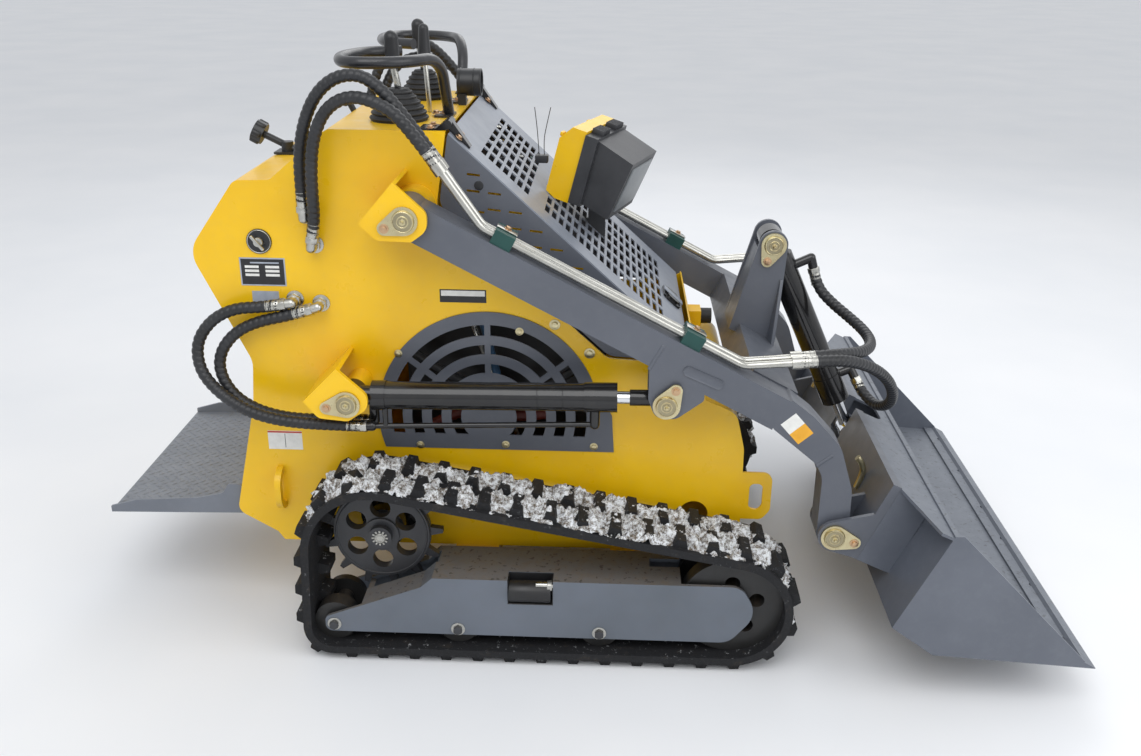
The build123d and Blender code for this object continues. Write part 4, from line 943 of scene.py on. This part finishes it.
print("stage: lamp details")
lampCase = {
    "at": (-71, -78, 1035), "yaw": -18, "tilt": 15,
    "fins": (34, 128), "perGroup": 6, "finPitch": 9,
    "clips": (14, 186), "clipHeights": (-50, 74),
}
lampPlace = Matrix.Translation(Vector(lampCase["at"]) * mm)
lampPlace = lampPlace @ Matrix.Rotation(math.radians(lampCase["yaw"]), 4, "Z")
lampPlace = lampPlace @ Matrix.Rotation(math.radians(lampCase["tilt"]), 4, "Y")
bm = bmesh.new()
for group in lampCase["fins"]:
    for k in range(lampCase["perGroup"]):
        fin = shifted(lampPlace, 73, group + lampCase["finPitch"] * k, 97)
        addBlock(bm, fin, (28 * mm, 3 * mm, 14 * mm), 1.2 * mm)
addPiece("lampFins", bm, "hood", "lampBlack", 30)
bm = bmesh.new()
front = shifted(lampPlace, 167, 100, -6) @ Matrix.Rotation(math.radians(9), 4, "Y")
addBlock(bm, front, (6 * mm, 150 * mm, 108 * mm), 2.5 * mm)
addPiece("lampFront", bm, "hood", "lampGrey", 30)
bm = bmesh.new()
for y in lampCase["clips"]:
    for z in lampCase["clipHeights"]:
        addBlock(bm, shifted(lampPlace, 1, y, z), (8 * mm, 18 * mm, 10 * mm), 2 * mm)
addPiece("bezelClips", bm, "hood", "hullYellow", 30)

cable = {"at": (-96, -52, 1046), "clip": (30, 22, 18), "ties": ((-6, -10), (6, 14))}  # ties: sideways, lean
bm = bmesh.new()
addBlock(bm, Matrix.Translation(Vector(cable["at"]) * mm), [value * mm for value in cable["clip"]], 3 * mm)
addPiece("cableClip", bm, "hood", "leverBlack", 30)
for k, (beside, lean) in enumerate(cable["ties"]):
    x, y, _ = cable["at"]
    x += beside
    tie = [(x, y, 1052), (x - 2, y, 1085), (x - 1 + lean * 0.4, y, 1120), (x + lean, y, 1160)]
    tubeAlong(f"cableTie{k}", tie, 0.9, "hood", "leverBlack", 8)

print("stage: hood details")
paddle = {"down": 648, "proud": 9.5, "size": (30, 60, 3)}
bm = bmesh.new()
place = facing(hoodUp, hoodTop + hoodWay * paddle["down"] * mm + hoodUp * paddle["proud"] * mm)
addBlock(bm, place, [value * mm for value in paddle["size"]], 1.2 * mm)
# the paddle takes the hood top's grey with its painted sky light
addPiece("latchPaddle", bm, "hood", "hoodGreyPaintedSkyLight", 30)
plug = {"at": (-210, 1036), "radius": 10, "tall": 2}
bm = bmesh.new()
for _, sign in bothSides:
    x, z = plug["at"]
    hit = hitNode("hood_cheeks", (x * mm, sign * 0.6, z * mm), (0, -sign, 0))
    addCone(bm, facing((0, sign, 0), hit), plug["radius"] * mm, 9 * mm, plug["tall"] * mm, 24, 0.6 * mm)
addPiece("cheekPlugs", bm, "hood", "leverBlack", 30)

print("stage: tower and attach details")
rib = {"corners": ((461, 60, 770), (436, 60, 600), (446, 92, 622)), "radius": 5, "thick": 6}
handle = ((627, 300, 437), (640, 300, 424), (644, 300, 396), (632, 300, 362))
for side, sign in bothSides:
    bm = bmesh.new()
    drums = []
    for x, y, z in rib["corners"]:
        place = facing((1, 0, 0.15), Vector((x, sign * y, z)) * mm)
        drums += addCone(bm, place, rib["radius"] * mm, rib["radius"] * mm, rib["thick"] * mm, 16)
    wrapDrums(bm, drums)
    addPiece("towerRib" + side, bm, "boom", "boomGrey", 30)
    tubeAlong("latchHandle" + side, [(x, sign * y, z) for x, y, z in handle], 7, "carrier", "goldZinc", 16)

print("stage: behind the grille")
fanHoses = {  # name: finish, radius, points
    "fanHoseBlue": ("hoseBlue", 9, ((-240, 262, 800), (-212, 258, 730), (-186, 262, 610), (-150, 262, 470))),
    "fanHoseWhite": ("zincPlate", 6, (
        (-262, 250, 790), (-234, 250, 706), (-176, 250, 550), (-140, 250, 450),
    )),
    "fanHoseBrown": ("plasticBrown", 12, (
        (-330, 240, 470), (-250, 246, 516), (-160, 246, 486), (-60, 240, 500),
    )),
    "fanHoseBlack": ("hoseWrap", 11, ((-380, 236, 640), (-260, 236, 560), (-130, 236, 520), (10, 236, 620))),
}
for side, sign in bothSides:
    for name, (look, radius, points) in fanHoses.items():
        tubeAlong(name + side, [(x, sign * y, z) for x, y, z in points], radius, "chassis", look, 16)

print("stage: finishing")
size = {"cad": [list(corner) for corner in cadBox], "visual": [list(corner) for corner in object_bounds()]}
